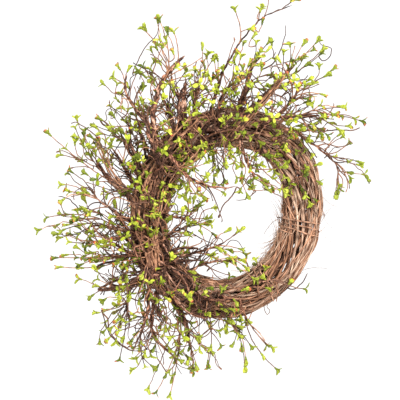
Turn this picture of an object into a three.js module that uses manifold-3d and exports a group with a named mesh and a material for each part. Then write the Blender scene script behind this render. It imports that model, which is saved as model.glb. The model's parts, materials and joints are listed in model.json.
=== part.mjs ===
// Grapevine wreath with leafy twig sprays, as it hangs on a wall.
//
// The ring is a bundle of long vine canes in three layers, tied round with thinner vine. Twig sprays are
// tucked into its front, from the upper right over the left side to the bottom. A spray has a tapering
// stem, thin twigs, and whorls of two or three leaflets along them.
//
// Millimetres, +Z up, front of the wreath towards -Y. The origin is the hanging point: the inside top of
// the ring, halfway through its depth, where a nail or hook carries it.

import * as THREE from "three";
import { mergeVertices } from "three/addons/utils/BufferGeometryUtils.js";
import Module from "manifold-3d";

const wasm = await Module();
wasm.setup();

// Driving dimensions.
const ringOuterDiameter = 301;
const ringWidth = 57;
const ringDepth = 48;
const ringOval = 0.07;
const ringLongAxis = 72;
const outerCaneRadius = 2.4;
const middleCaneRadius = 3.0;
const coreCaneRadius = 4.0;
const tieRadius = 1.3;
const layerGap = 0.45;
const contactGap = 0.3;
const spareGap = 0.6;
const leafLength = 12.5;
const leafWidth = 6.2;
const leafThickness = 0.8;
const whorlSpacing = 31;
const stemRootRadius = 3.2;
const stemTipRadius = 1.3;
const twigRootRadius = 1.0;
const twigTipRadius = 0.7;

// Sizes that follow from them.
const degree = Math.PI / 180;
const centreRadius = (ringOuterDiameter - ringWidth) / 2;
const insideTop = ringRadiusAt(90 * degree) - ringWidth / 2;
const outerReach = outerCaneRadius;
const middleReach = outerReach + outerCaneRadius + layerGap + middleCaneRadius;
const coreReach = middleReach + middleCaneRadius + layerGap + coreCaneRadius;

// Each layer is one winding path of so many rounds, cut into canes of equal length. Its rounds twist about
// the bundle by one place more than a whole number of turns, so each round lies beside the one before.
const stepsPerRound = 24;
const layers = [
  { name: "core_cane", canes: 1, rounds: 3, wholeTwists: 0, hand: 1,
    radius: coreCaneRadius, reach: coreReach, sides: 3, colour: 0x4a342a },
  { name: "middle_cane", canes: 2, rounds: 7, wholeTwists: 1, hand: -1,
    radius: middleCaneRadius, reach: middleReach, sides: 4, colour: 0x5b4032 },
  { name: "outer_cane", canes: 6, rounds: 16, wholeTwists: 1, hand: 1,
    radius: outerCaneRadius, reach: outerReach, sides: 4, colour: 0x8a6248 },
];

// The ties: the angle round the ring in degrees, anticlockwise from the right in the front view, and the
// wraps.
const ties = [
  { around: -64, wraps: 2.3 },
  { around: -18, wraps: 3.2 },
  { around: 62, wraps: 2.3 },
  { around: 164, wraps: 2.3 },
];
const tiePitch = 6.5;
const stepsPerWrap = 12;
const tieSides = 3;
const tieClearance = 1.35;
const tieColour = 0x9a6e50;
const wallDistance = ringDepth / 2 + tieClearance + 2 * tieRadius;

// The sprays, in the order they are tucked in. Routes and tips are places [x, z] in the front view, from
// the middle of the ring. A route is the stem's, and each tip ends a twig of its own. lift is the angle at
// which the stem leans out to the front, and extra is how many more twigs, about reach long, leave it to
// either side.
const sprays = [
  { name: "spray_left_low_1", lift: 4, extra: 2, reach: 55,
    route: [[-98, -72], [-118, -86], [-139, -106], [-158, -112], [-190, -116]],
    tips: [[-206, -126]] },
  { name: "spray_left_1", lift: 10, extra: 2, reach: 55,
    route: [[-118, -58], [-157, -66], [-179, -64]],
    tips: [[-262, -68], [-253, -82], [-221, -78]] },
  { name: "spray_left_2", lift: 6, extra: 2, reach: 60,
    route: [[-130, -30], [-150, -28], [-184, -18], [-205, -22]],
    tips: [[-275, -6], [-248, -26]] },
  { name: "spray_left_3", lift: 22, extra: 2, reach: 50,
    route: [[-116, -26], [-144, -36], [-182, -42], [-197, -42]],
    tips: [[-240, -44]] },
  { name: "spray_upper_left_1", lift: 8, extra: 2, reach: 60,
    route: [[-112, -2], [-134, 14], [-162, 38], [-178, 56], [-193, 78]],
    tips: [[-266, 120], [-253, 90], [-229, 134]] },
  { name: "spray_upper_left_2", lift: 20, extra: 2, reach: 50,
    route: [[-118, -28], [-156, -4], [-188, 18], [-205, 42]],
    tips: [[-242, 36], [-233, 66]] },
  { name: "spray_upper_left_3", lift: 18, extra: 2, reach: 55,
    route: [[-118, 18], [-141, 50], [-152, 70], [-166, 94]],
    tips: [[-203, 116]] },
  { name: "spray_upper_left_4", lift: 14, extra: 2, reach: 55,
    route: [[-120, 6], [-134, 88], [-150, 110]],
    tips: [[-175, 166], [-191, 144]] },
  { name: "spray_upper_left_5", lift: 24, extra: 2, reach: 45,
    route: [[-116, 22], [-112, 47], [-98, 70], [-85, 106], [-80, 116]],
    tips: [[-56, 92]] },
  { name: "spray_upper_left_6", lift: 8, extra: 2, reach: 45,
    route: [[-80, 84], [-108, 116], [-121, 138], [-145, 168], [-152, 194], [-146, 204]],
    tips: [[-170, 204]] },
  { name: "spray_top_left_1", lift: 5, extra: 2, reach: 55,
    route: [[-100, 80], [-109, 120], [-102, 172], [-93, 200], [-69, 218], [-61, 230]],
    tips: [[-125, 278], [-76, 274], [-98, 288]] },
  { name: "spray_top_left_2", lift: 16, extra: 2, reach: 60,
    route: [[-68, 98], [-80, 136], [-93, 172]],
    tips: [[-126, 222]] },
  { name: "spray_top_left_3", lift: 26, extra: 2, reach: 55,
    route: [[-58, 112], [-67, 154], [-73, 184]],
    tips: [[-53, 248]] },
  { name: "stub_top_left_1", lift: 12, extra: 0, reach: 0,
    route: [[-52, 118], [-62, 148], [-64, 162], [-59, 198]],
    tips: [] },
  { name: "stub_top_left_2", lift: 20, extra: 1, reach: 45,
    route: [[-98, 72], [-113, 116], [-116, 144]],
    tips: [] },
  { name: "spray_top_1", lift: 4, extra: 2, reach: 45,
    route: [[-30, 118], [-21, 152], [-10, 196], [13, 242], [53, 290], [99, 308]],
    tips: [[108, 318], [54, 308]] },
  { name: "spray_top_2", lift: 10, extra: 2, reach: 60,
    route: [[-44, 124], [-48, 160], [-43, 176], [-35, 190]],
    tips: [[-16, 234]] },
  { name: "spray_top_3", lift: 18, extra: 2, reach: 55,
    route: [[-8, 120], [-12, 154], [4, 188], [10, 196]],
    tips: [[67, 246]] },
  { name: "spray_top_4", lift: 8, extra: 2, reach: 50,
    route: [[16, 122], [23, 162], [29, 182], [35, 206], [41, 222]],
    tips: [[67, 260]] },
  { name: "spray_top_right_1", lift: 9, extra: 2, reach: 60,
    route: [[28, 144], [47, 162], [66, 180], [85, 200], [99, 218]],
    tips: [[140, 258], [149, 246]] },
  { name: "spray_top_right_2", lift: 16, extra: 2, reach: 55,
    route: [[57, 126], [95, 162], [115, 196]],
    tips: [[154, 206], [150, 176]] },
  { name: "spray_right_1", lift: 12, extra: 2, reach: 55,
    route: [[40, 128], [67, 138], [112, 144], [139, 144]],
    tips: [[207, 134], [182, 156], [172, 120]] },
  { name: "spray_right_2", lift: 8, extra: 1, reach: 40,
    route: [[70, 108], [95, 128], [124, 104], [145, 90], [168, 66], [167, 38]],
    tips: [[203, 68], [161, 20], [189, 104]] },
  { name: "spray_right_3", lift: 20, extra: 1, reach: 42,
    route: [[100, 74], [112, 50]],
    tips: [[121, 20]] },
  { name: "spray_hole_top_1", lift: 10, extra: 2, reach: 40,
    route: [[20, 120], [25, 92], [34, 70], [44, 48]],
    tips: [[86, 28], [38, 32]] },
  { name: "spray_hole_top_2", lift: 16, extra: 1, reach: 40,
    route: [[44, 114], [60, 86]],
    tips: [[70, 56]] },
  { name: "spray_hole_top_3", lift: 22, extra: 2, reach: 50,
    route: [[-40, 136], [-22, 96]],
    tips: [[-8, 58]] },
  { name: "twig_hole_top", lift: 12, extra: 1, reach: 40,
    route: [[-84, 86], [-68, 64], [-38, 42], [0, 36], [15, 38]],
    tips: [[-26, 16]] },
  { name: "spray_hole_left_1", lift: 20, extra: 1, reach: 45,
    route: [[-112, 4], [-77, -6], [-48, -10]],
    tips: [[-30, 20]] },
  { name: "spray_hole_left_2", lift: 14, extra: 1, reach: 40,
    route: [[-108, -52], [-86, -38], [-70, -30]],
    tips: [[-26, -14]] },
  { name: "spray_hole_low_1", lift: 8, extra: 1, reach: 45,
    route: [[-106, -82], [-76, -68], [-53, -62], [-8, -48], [-2, -44]],
    tips: [[30, -54], [24, -24]] },
  { name: "spray_hole_low_2", lift: 18, extra: 1, reach: 38,
    route: [[-78, -110], [-38, -76], [13, -72]],
    tips: [[36, -82]] },
  { name: "spray_bottom_left_1", lift: 12, extra: 2, reach: 55,
    route: [[-104, -76], [-128, -96], [-143, -114], [-147, -144], [-140, -162]],
    tips: [[-182, -148], [-158, -224], [-176, -192]] },
  { name: "spray_bottom_left_2", lift: 6, extra: 1, reach: 55,
    route: [[-98, -104], [-110, -154], [-109, -182], [-76, -216]],
    tips: [[-136, -224]] },
  { name: "spray_bottom_left_3", lift: 22, extra: 2, reach: 50,
    route: [[-92, -86], [-116, -102], [-114, -142], [-131, -192]],
    tips: [[-118, -234]] },
  { name: "spray_bottom_1", lift: 9, extra: 1, reach: 50,
    route: [[-80, -124], [-70, -144], [-61, -162], [-53, -198]],
    tips: [[-106, -276], [-84, -280], [-47, -238]] },
  { name: "spray_bottom_2", lift: 16, extra: 2, reach: 55,
    route: [[-31, -134], [-28, -166]],
    tips: [[-26, -236]] },
  { name: "spray_bottom_3", lift: 6, extra: 1, reach: 45,
    route: [[-10, -132], [10, -166]],
    tips: [[31, -234], [42, -204]] },
  { name: "spray_bottom_4", lift: 10, extra: 0, reach: 0,
    route: [[20, -126], [32, -162], [53, -180]],
    tips: [[80, -240], [74, -206]] },
  { name: "spray_low_right", lift: 6, extra: 1, reach: 38,
    route: [[34, -114], [59, -100], [95, -104]],
    tips: [[126, -116]] },
  { name: "spray_front_1", lift: 34, extra: 3, reach: 45,
    route: [[-118, -44], [-120, -6]],
    tips: [] },
  { name: "spray_front_2", lift: 30, extra: 3, reach: 45,
    route: [[-108, 50], [-86, 82]],
    tips: [] },
  { name: "spray_front_3", lift: 34, extra: 3, reach: 45,
    route: [[-28, 122], [10, 128]],
    tips: [] },
  { name: "spray_front_4", lift: 32, extra: 3, reach: 45,
    route: [[-94, -70], [-116, -52]],
    tips: [] },
  { name: "spray_front_5", lift: 30, extra: 3, reach: 45,
    route: [[-50, -116], [-14, -128]],
    tips: [] },
];
const stemSegments = 5;
const stemSides = 4;
const seatStep = 1;
const deepestSeat = 30;
const twigTries = 60;
const leafyStep = 2.2;
const leafReach = 8;
const thinnestFace = 0.02;
const stemColour = 0x6f4a42;

// A seeded source of even draws from 0 to 1.
function seededDraws(seed) {
  let state = seed >>> 0;
  return () => {
    state = (state + 0x6d2b79f5) >>> 0;
    let mixed = Math.imul(state ^ (state >>> 15), state | 1);
    mixed ^= mixed + Math.imul(mixed ^ (mixed >>> 7), mixed | 61);
    return ((mixed ^ (mixed >>> 14)) >>> 0) / 4294967296;
  };
}

// The ring's middle line is a little oval, with its long axis leaning to the right.
function ringRadiusAt(angle) {
  return centreRadius * (1 + ringOval * Math.cos(2 * (angle - ringLongAxis * degree)));
}

// A point of the bundle: round the ring by angle, and round the bundle by roll, inside its surface by
// inset.
function bundlePoint(angle, roll, inset) {
  const out = ringRadiusAt(angle) + (ringWidth / 2 - inset) * Math.cos(roll);
  const forward = (ringDepth / 2 - inset) * Math.sin(roll);
  return new THREE.Vector3(out * Math.cos(angle), -forward, out * Math.sin(angle));
}

// The path of one cane of a layer, with its steps in the same places round the ring as every other cane's.
class CanePath extends THREE.Curve {
  constructor(layer, number) {
    super();
    this.layer = layer;
    const ownSteps = Math.round((layer.rounds * stepsPerRound) / layer.canes);
    this.firstStep = number * ownSteps;
    this.steps = Math.min(ownSteps, layer.rounds * stepsPerRound - this.firstStep) - 1;
    this.twist = layer.hand * (layer.wholeTwists + 1 / layer.rounds);
  }
  getUtoTmapping(u) {
    return u;
  }
  getPoint(t, target = new THREE.Vector3()) {
    const angle = ((this.firstStep + t * this.steps) * 2 * Math.PI) / stepsPerRound;
    return target.copy(bundlePoint(angle, this.twist * angle, this.layer.reach));
  }
}

// The path of a tie, wound round the bundle.
class TiePath extends THREE.Curve {
  constructor(tie) {
    super();
    this.tie = tie;
    this.steps = Math.round(tie.wraps * stepsPerWrap);
  }
  getUtoTmapping(u) {
    return u;
  }
  getPoint(t, target = new THREE.Vector3()) {
    const wraps = this.tie.wraps * t;
    const angle = this.tie.around * degree + (wraps * tiePitch) / (centreRadius - ringWidth / 2);
    return target.copy(bundlePoint(angle, (wraps - 0.7) * 2 * Math.PI, -tieClearance - tieRadius));
  }
}

// A cane's solid: an even-sided section run along its path.
function caneGeometry(path, radius, sides) {
  const corners = Array.from({ length: sides }, (_, i) => {
    const turn = (i * 2 * Math.PI) / sides;
    return new THREE.Vector2(radius * Math.cos(turn), radius * Math.sin(turn));
  });
  const options = { steps: path.steps, extrudePath: path, bevelEnabled: false };
  return new THREE.ExtrudeGeometry(new THREE.Shape(corners), options);
}

// A closed geometry as a solid, for joining.
function solidOf(geometry) {
  const bare = geometry.clone();
  bare.deleteAttribute("normal");
  bare.deleteAttribute("uv");
  const merged = mergeVertices(bare, 1e-4);
  return new wasm.Manifold(new wasm.Mesh({
    numProp: 3,
    vertProperties: merged.attributes.position.array,
    triVerts: new Uint32Array(merged.index.array),
  }));
}

// The least height of any triangle of a solid's surface.
function thinnestTriangle(solid) {
  const { vertProperties, triVerts } = solid.getMesh();
  const corner = (i) => new THREE.Vector3().fromArray(vertProperties, 3 * triVerts[i]);
  let least = Infinity;
  for (let i = 0; i < triVerts.length; i += 3) {
    const [a, b, c] = [corner(i), corner(i + 1), corner(i + 2)];
    const longest = Math.max(a.distanceTo(b), b.distanceTo(c), c.distanceTo(a));
    least = Math.min(least, b.sub(a).cross(c.sub(a)).length() / longest);
  }
  return least;
}

// A joined solid as a geometry again.
function geometryOf(solid) {
  const mesh = solid.getMesh();
  const geometry = new THREE.BufferGeometry();
  geometry.setAttribute("position", new THREE.BufferAttribute(mesh.vertProperties, 3));
  geometry.setIndex(new THREE.BufferAttribute(mesh.triVerts, 1));
  return geometry;
}

// What is in place so far: straight rods with round ends, each with the number of the piece that it
// belongs to, and one solid of the canes, the ties and the stems.
const placedRods = [];
let placedSolid = null;

function placeSolid(solid) {
  placedSolid = placedSolid ? placedSolid.add(solid) : solid;
}

function rod(from, to, radius) {
  return { from, to, radius, middle: from.clone().lerp(to, 0.5), half: from.distanceTo(to) / 2 };
}

function rodsAlong(points, radii) {
  return points.slice(1).map((to, i) => rod(points[i], to, Math.max(radii[i], radii[i + 1])));
}

function place(fresh, owner) {
  fresh.forEach((r) => placedRods.push({ ...r, owner }));
}

// The distance between the middle lines of two rods.
function lineGap(a, b) {
  const along = a.to.clone().sub(a.from);
  const other = b.to.clone().sub(b.from);
  const between = a.from.clone().sub(b.from);
  const aa = along.dot(along);
  const bb = other.dot(other);
  const ab = along.dot(other);
  const c = along.dot(between);
  const f = other.dot(between);
  const turned = aa * bb - ab * ab;
  let s = turned > 1e-9 ? THREE.MathUtils.clamp((ab * f - c * bb) / turned, 0, 1) : 0;
  let t = (ab * s + f) / bb;
  if (t < 0) {
    t = 0;
    s = THREE.MathUtils.clamp(-c / aa, 0, 1);
  } else if (t > 1) {
    t = 1;
    s = THREE.MathUtils.clamp((ab - c) / aa, 0, 1);
  }
  return between.addScaledVector(along, s).addScaledVector(other, -t).length();
}

// The least room between new rods and other pieces' rods, or the first room found that is under enough.
function roomRound(fresh, owner, enough = -Infinity) {
  let least = 60;
  for (const b of placedRods) {
    if (b.owner === owner) continue;
    for (const a of fresh) {
      const reach = a.half + b.half + a.radius + b.radius + least;
      if (a.middle.distanceToSquared(b.middle) > reach * reach) continue;
      least = Math.min(least, lineGap(a, b) - a.radius - b.radius);
      if (least < enough) return least;
    }
  }
  return least;
}

// The direction of a heading in the front view, leaning to the front by lift.
function direction(heading, lift) {
  const level = Math.cos(lift);
  return new THREE.Vector3(Math.cos(heading) * level, -Math.sin(lift), Math.sin(heading) * level);
}

function stemSolid(points, radii) {
  return solidOf(tubeGeometry(sectionCorners(points, radii, stemSides), points.map(() => 0)));
}

function movedBack(points, distance) {
  return points.map((p) => new THREE.Vector3(p.x, p.y + distance, p.z));
}

// How far back a stem can go before it runs into what is already there.
function roomBehind(points, radii) {
  const clearAt = (distance) => {
    return stemSolid(movedBack(points, distance), radii).intersect(placedSolid).isEmpty();
  };
  let clear = 0;
  while (clear < deepestSeat && clearAt(clear + seatStep)) clear += seatStep;
  let blocked = clear + seatStep;
  while (blocked - clear > 0.03) {
    const between = (clear + blocked) / 2;
    if (clearAt(between)) clear = between;
    else blocked = between;
  }
  return clear;
}

// Lays a spray's stem: it comes back towards the wall, until it touches what is already there.
function layStem(spray, owner) {
  const flat = new THREE.SplineCurve(spray.route.map(([x, z]) => new THREE.Vector2(x, z)));
  const length = flat.getLength();
  let points = flat.getSpacedPoints(stemSegments).map((p, i) => {
    const gone = (length * i) / stemSegments;
    const forward = gone * Math.tan(spray.lift * degree) * (1 - (0.35 * i) / stemSegments);
    return new THREE.Vector3(p.x, -forward - 100, p.y);
  });
  const radii = points.map((_, i) => THREE.MathUtils.lerp(stemRootRadius, stemTipRadius, i / stemSegments));
  for (let i = 0; i < 60; i++) {
    const step = roomRound(rodsAlong(points, radii), owner);
    if (step < 0.05) break;
    points = movedBack(points, step);
  }
  points = movedBack(points, roomBehind(points, radii) - contactGap);
  place(rodsAlong(points, radii), owner);
  placeSolid(stemSolid(points, radii));
  return { points, radii, length };
}

// A stem's point and direction at a share of its length.
function stemAt(stem, share) {
  const place = share * stemSegments;
  const i = Math.min(Math.floor(place), stemSegments - 1);
  const [from, to] = [stem.points[i], stem.points[i + 1]];
  return { point: from.clone().lerp(to, place - i), heading: Math.atan2(to.z - from.z, to.x - from.x) };
}

// The share of a stem's length from which a twig best leaves for a place in the front view.
function shareFor(stem, [x, z]) {
  const gaps = stem.points.map((p) => Math.hypot(p.x - x, p.z - z));
  const nearest = gaps.indexOf(Math.min(...gaps));
  return THREE.MathUtils.clamp(nearest / stemSegments - (0.5 * gaps[nearest]) / stem.length, 0.25, 0.96);
}

// The stops along a twig, each with the number of leaflets on the short step after it. The last whorl ends
// it.
function twigStops(length) {
  const whorls = Math.max(1, Math.floor((length - 8) / whorlSpacing));
  const stops = [{ at: 0, leaflets: 0 }];
  for (let i = 1; i <= whorls; i++) {
    const at = length - (whorls - i) * whorlSpacing;
    if (i === 1) stops.push({ at: (at - leafyStep) / 2, leaflets: 0 });
    stops.push({ at: at - leafyStep, leaflets: i === whorls ? 3 : 2 });
    stops.push({ at, leaflets: 0 });
  }
  return stops;
}

// The corners of a section at each point, turned as little as possible from one to the next.
function sectionCorners(points, radii, sides) {
  let normal = new THREE.Vector3(0.31, -0.87, 0.38);
  return points.map((p, i) => {
    const before = points[Math.max(i - 1, 0)];
    const after = points[Math.min(i + 1, points.length - 1)];
    const tangent = after.clone().sub(before).normalize();
    normal = normal.clone().addScaledVector(tangent, -normal.dot(tangent)).normalize();
    const side = tangent.clone().cross(normal);
    return Array.from({ length: sides }, (_, j) => {
      const turn = (j * 2 * Math.PI) / sides;
      const corner = p.clone().addScaledVector(normal, radii[i] * Math.cos(turn));
      return corner.addScaledVector(side, radii[i] * Math.sin(turn));
    });
  });
}

// The points of a leaflet that grows out of the side a, b, d, c of a twig, where c and d are further
// along.
function leafPoints(a, b, c, d) {
  const base = a.clone().add(b).add(c).add(d).multiplyScalar(0.25);
  const across = b.clone().sub(a).normalize();
  const forth = c.clone().sub(a).normalize();
  const outward = across.clone().cross(forth).normalize();
  const along = outward.clone().multiplyScalar(0.7).addScaledVector(forth, 0.71).normalize();
  const upward = across.clone().cross(along).normalize();
  const middle = base.clone().addScaledVector(along, leafLength * 0.62);
  return {
    base,
    left: middle.clone().addScaledVector(across, -leafWidth / 2),
    right: middle.clone().addScaledVector(across, leafWidth / 2),
    ridge: middle.clone().addScaledVector(upward, leafThickness),
    tip: base.clone().addScaledVector(along, leafLength),
  };
}

// A tapering closed tube. The step after each stop grows its leaflets from the tube's first sides.
function tubeGeometry(corners, leaflets) {
  const sides = corners[0].length;
  const triangles = [];
  for (let i = 0; i + 1 < corners.length; i++)
    for (let j = 0; j < sides; j++) {
      const k = (j + 1) % sides;
      const [a, b, c, d] = [corners[i][j], corners[i][k], corners[i + 1][j], corners[i + 1][k]];
      if (j >= leaflets[i]) {
        triangles.push([a, b, d], [a, d, c]);
        continue;
      }
      const leaf = leafPoints(a, b, c, d);
      triangles.push([a, b, leaf.ridge], [b, leaf.right, leaf.ridge], [a, leaf.ridge, leaf.left]);
      triangles.push([b, d, leaf.right], [c, a, leaf.left], [d, c, leaf.left], [d, leaf.left, leaf.right]);
      triangles.push([leaf.ridge, leaf.right, leaf.tip], [leaf.left, leaf.ridge, leaf.tip]);
      triangles.push([leaf.right, leaf.left, leaf.tip]);
    }
  const last = corners.length - 1;
  for (let j = 1; j + 1 < sides; j++) {
    triangles.push([corners[0][0], corners[0][j + 1], corners[0][j]]);
    triangles.push([corners[last][0], corners[last][j], corners[last][j + 1]]);
  }
  return new THREE.BufferGeometry().setFromPoints(triangles.flat());
}

// Draws one twig of a stem, towards its own tip or to one side.
function drawTwig(spray, stem, number, draw, shrink) {
  const named = spray.tips[number];
  const early = 0.12 * draw();
  const spread = draw();
  const lift = -0.45 + 1.25 * draw();
  const long = spray.reach * (0.75 + 0.5 * draw()) * shrink;
  const bow = draw() - 0.5;
  const extraShare = (number - spray.tips.length) / spray.extra;
  const leave = (named ? shareFor(stem, named) : 0.25 + 0.85 * extraShare) - early;
  const turn = (1 + 0.5 * spread - 0.7 * leave) * (number % 2 ? 1 : -1);
  const start = stemAt(stem, leave);
  const end = named
    ? new THREE.Vector3(named[0], start.point.y, named[1])
    : start.point.clone().addScaledVector(direction(start.heading + turn, 0), long);
  if (named) end.lerp(start.point, leafReach / end.distanceTo(start.point));
  const chord = start.point.distanceTo(end);
  end.y -= chord * Math.sin(lift * (named ? 0.6 : 1));
  const bend = direction(start.heading + bow, lift).multiplyScalar(0.45 * chord).add(start.point);
  return new THREE.QuadraticBezierCurve3(start.point, bend, end);
}

// Grows one twig from a spray. It tries other draws until the twig is clear of other sprays, the ring and
// the wall, and joins on with no sliver of a face.
function growTwig(solid, spray, stem, number, owner) {
  for (let attempt = 0; attempt < twigTries; attempt++) {
    const draw = seededDraws(owner * 7919 + number * 977 + attempt * 131);
    const curve = drawTwig(spray, stem, number, draw, attempt > twigTries / 2 ? 0.7 : 1);
    const length = curve.getLength();
    const stops = twigStops(length);
    const points = stops.map((stop) => curve.getPointAt(stop.at / length));
    const radii = stops.map((stop) => {
      return THREE.MathUtils.lerp(twigRootRadius, twigTipRadius, stop.at / length);
    });
    const leaflets = stops.map((stop) => stop.leaflets);
    const corners = sectionCorners(points, radii, 3);
    const fresh = rodsAlong(points, radii);
    for (let i = 0; i + 1 < stops.length; i++)
      for (let j = 0; j < leaflets[i]; j++) {
        const k = (j + 1) % 3;
        const leaf = leafPoints(corners[i][j], corners[i][k], corners[i + 1][j], corners[i + 1][k]);
        fresh.push(rod(leaf.base, leaf.tip, leafWidth / 2));
      }
    const nearWall = Math.max(...fresh.map((r) => Math.max(r.from.y, r.to.y) + r.radius));
    if (nearWall > wallDistance - spareGap || roomRound(fresh, owner, spareGap) < spareGap) continue;
    const joined = solid.add(solidOf(tubeGeometry(corners, leaflets)));
    if (thinnestTriangle(joined) < thinnestFace) continue;
    place(fresh, owner);
    return joined;
  }
  return solid;
}

function namedMesh(name, geometry, color) {
  const material = new THREE.MeshStandardMaterial({ color, roughness: 0.8, metalness: 0 });
  const mesh = new THREE.Mesh(geometry, material);
  mesh.name = name;
  return mesh;
}

const wreath = new THREE.Group();

function addCane(name, path, radius, sides, colour) {
  const points = Array.from({ length: path.steps + 1 }, (_, i) => path.getPoint(i / path.steps));
  const geometry = caneGeometry(path, radius, sides);
  place(rodsAlong(points, points.map(() => radius)), wreath.children.length);
  placeSolid(solidOf(geometry));
  wreath.add(namedMesh(name, geometry, colour));
}

for (const layer of layers)
  for (let i = 0; i < layer.canes; i++) {
    const name = layer.canes > 1 ? `${layer.name}_${i + 1}` : layer.name;
    addCane(name, new CanePath(layer, i), layer.radius, layer.sides, layer.colour);
  }
ties.forEach((tie, i) => addCane(`tie_${i + 1}`, new TiePath(tie), tieRadius, tieSides, tieColour));

const firstSpray = wreath.children.length;
const stems = sprays.map((spray, i) => layStem(spray, firstSpray + i));
sprays.forEach((spray, i) => {
  const stem = stems[i];
  const twigs = spray.tips.length + spray.extra;
  let solid = stemSolid(stem.points, stem.radii);
  for (let number = 0; number < twigs; number++) solid = growTwig(solid, spray, stem, number, firstSpray + i);
  wreath.add(namedMesh(spray.name, geometryOf(solid), stemColour));
});

wreath.position.z = -insideTop;

export default wreath;
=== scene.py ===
import json
import math
import random

import bpy
import numpy as np
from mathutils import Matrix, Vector, kdtree, noise

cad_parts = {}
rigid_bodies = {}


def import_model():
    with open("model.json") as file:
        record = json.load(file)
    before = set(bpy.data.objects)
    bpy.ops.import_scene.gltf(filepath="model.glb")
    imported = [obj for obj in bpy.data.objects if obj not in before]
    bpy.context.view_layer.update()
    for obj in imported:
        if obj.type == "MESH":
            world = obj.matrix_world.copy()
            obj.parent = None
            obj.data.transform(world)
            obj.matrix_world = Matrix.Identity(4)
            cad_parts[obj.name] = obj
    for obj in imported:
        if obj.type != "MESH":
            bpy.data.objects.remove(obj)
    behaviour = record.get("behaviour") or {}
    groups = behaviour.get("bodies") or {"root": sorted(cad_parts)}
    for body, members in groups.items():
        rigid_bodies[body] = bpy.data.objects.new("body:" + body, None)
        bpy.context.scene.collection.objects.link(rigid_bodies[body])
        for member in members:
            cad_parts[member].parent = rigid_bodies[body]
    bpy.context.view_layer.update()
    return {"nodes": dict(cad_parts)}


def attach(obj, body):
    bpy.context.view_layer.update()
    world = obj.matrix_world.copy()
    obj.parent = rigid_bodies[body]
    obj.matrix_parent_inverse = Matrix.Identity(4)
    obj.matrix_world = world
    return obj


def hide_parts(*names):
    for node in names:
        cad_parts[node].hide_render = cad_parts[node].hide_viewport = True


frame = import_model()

mm = 0.001
degree = math.pi / 180

# The grapevine wreath hangs with the inside top of its ring at the origin, and faces -Y.

ring = {
    "outerDiameter": 301 * mm,
    "width": 57 * mm,
    "depth": 48 * mm,
    "oval": 0.07,
    "longAxis": 72,
}
centreRadius = (ring["outerDiameter"] - ring["width"]) / 2


def ringRadiusAt(angle):
    return centreRadius * (1 + ring["oval"] * math.cos(2 * (angle - ring["longAxis"] * degree)))


insideTop = ringRadiusAt(90 * degree) - ring["width"] / 2


def ringPoint(angle, roll, inset):  # round the ring, round the bundle, and inside the bundle's surface
    out = ringRadiusAt(angle) + (ring["width"] / 2 - inset) * math.cos(roll)
    forward = (ring["depth"] / 2 - inset) * math.sin(roll)
    return Vector((out * math.cos(angle), -forward, out * math.sin(angle) - insideTop))


def paint(red, green, blue):  # a colour as seen, made linear
    linear = [c / 255 / 12.92 if c <= 10 else ((c / 255 + 0.055) / 1.055) ** 2.4 for c in (red, green, blue)]
    return (*linear, 1)


studio = {
    "viewWidth": 600 * mm,
    "lens": 200,
    "aimX": -38.25 * mm,
    "aimZ": 18.75 * mm - insideTop,
    "worldLight": 1.15,
    "keyPower": 155,
    "keySize": 0.8,
    "keyAt": (0.8, -2.3, 1.3),
    "floorDrop": 0.9,
    "floorReach": 4.0,
    "floorTones": [(0, paint(232, 231, 228)), (1, paint(243, 242, 240))],
    "floorSpeckle": 3,
    "floorRoughness": 0.9,
}


def makeStudio():
    scene = bpy.context.scene
    cameraData = bpy.data.cameras.new("camera")
    cameraData.lens = studio["lens"]
    cameraData.clip_end = 50
    camera = bpy.data.objects.new("camera", cameraData)
    away = studio["viewWidth"] * studio["lens"] / cameraData.sensor_width
    camera.location = (studio["aimX"], -away, studio["aimZ"])
    camera.rotation_euler = (math.pi / 2, 0, 0)
    scene.collection.objects.link(camera)
    scene.camera = camera

    world = bpy.data.worlds.new("studio")
    world.use_nodes = True
    world.node_tree.nodes["Background"].inputs["Color"].default_value = (1, 1, 1, 1)
    world.node_tree.nodes["Background"].inputs["Strength"].default_value = studio["worldLight"]
    scene.world = world
    scene.view_settings.view_transform = "Standard"

    keyData = bpy.data.lights.new("key", "AREA")
    keyData.energy = studio["keyPower"]
    keyData.size = studio["keySize"]
    key = bpy.data.objects.new("key", keyData)
    key.location = studio["keyAt"]
    key.rotation_euler = (Vector((0, 0, -insideTop)) - key.location).to_track_quat("-Z", "Y").to_euler()
    scene.collection.objects.link(key)

    reach, drop = studio["floorReach"], -studio["floorDrop"]
    floorMesh = bpy.data.meshes.new("floor")
    floorMesh.from_pydata([(-reach, -reach, drop), (reach, -reach, drop), (reach, reach, drop), (-reach, reach, drop)],
                          [], [(0, 1, 2, 3)])
    floor = bpy.data.objects.new("floor", floorMesh)
    scene.collection.objects.link(floor)
    floorMesh.materials.append(paleFloorMaterial())


class Nodes:  # a tree of nodes that are made and joined with few words
    def __init__(self, tree):
        self.tree = tree

    def feed(self, socket, value):  # value is another node's output or a constant
        if isinstance(value, bpy.types.NodeSocket):
            self.tree.links.new(value, socket)
        else:
            socket.default_value = value

    def add(self, kind, inputs=None, **settings):
        node = self.tree.nodes.new(kind)
        for key, value in settings.items():
            setattr(node, key, value)
        for label, value in (inputs or {}).items():
            self.feed(node.inputs[label], value)
        return node

    def math(self, operation, first, second):
        return self.add("ShaderNodeMath", {0: first, 1: second}, operation=operation).outputs[0]


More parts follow.
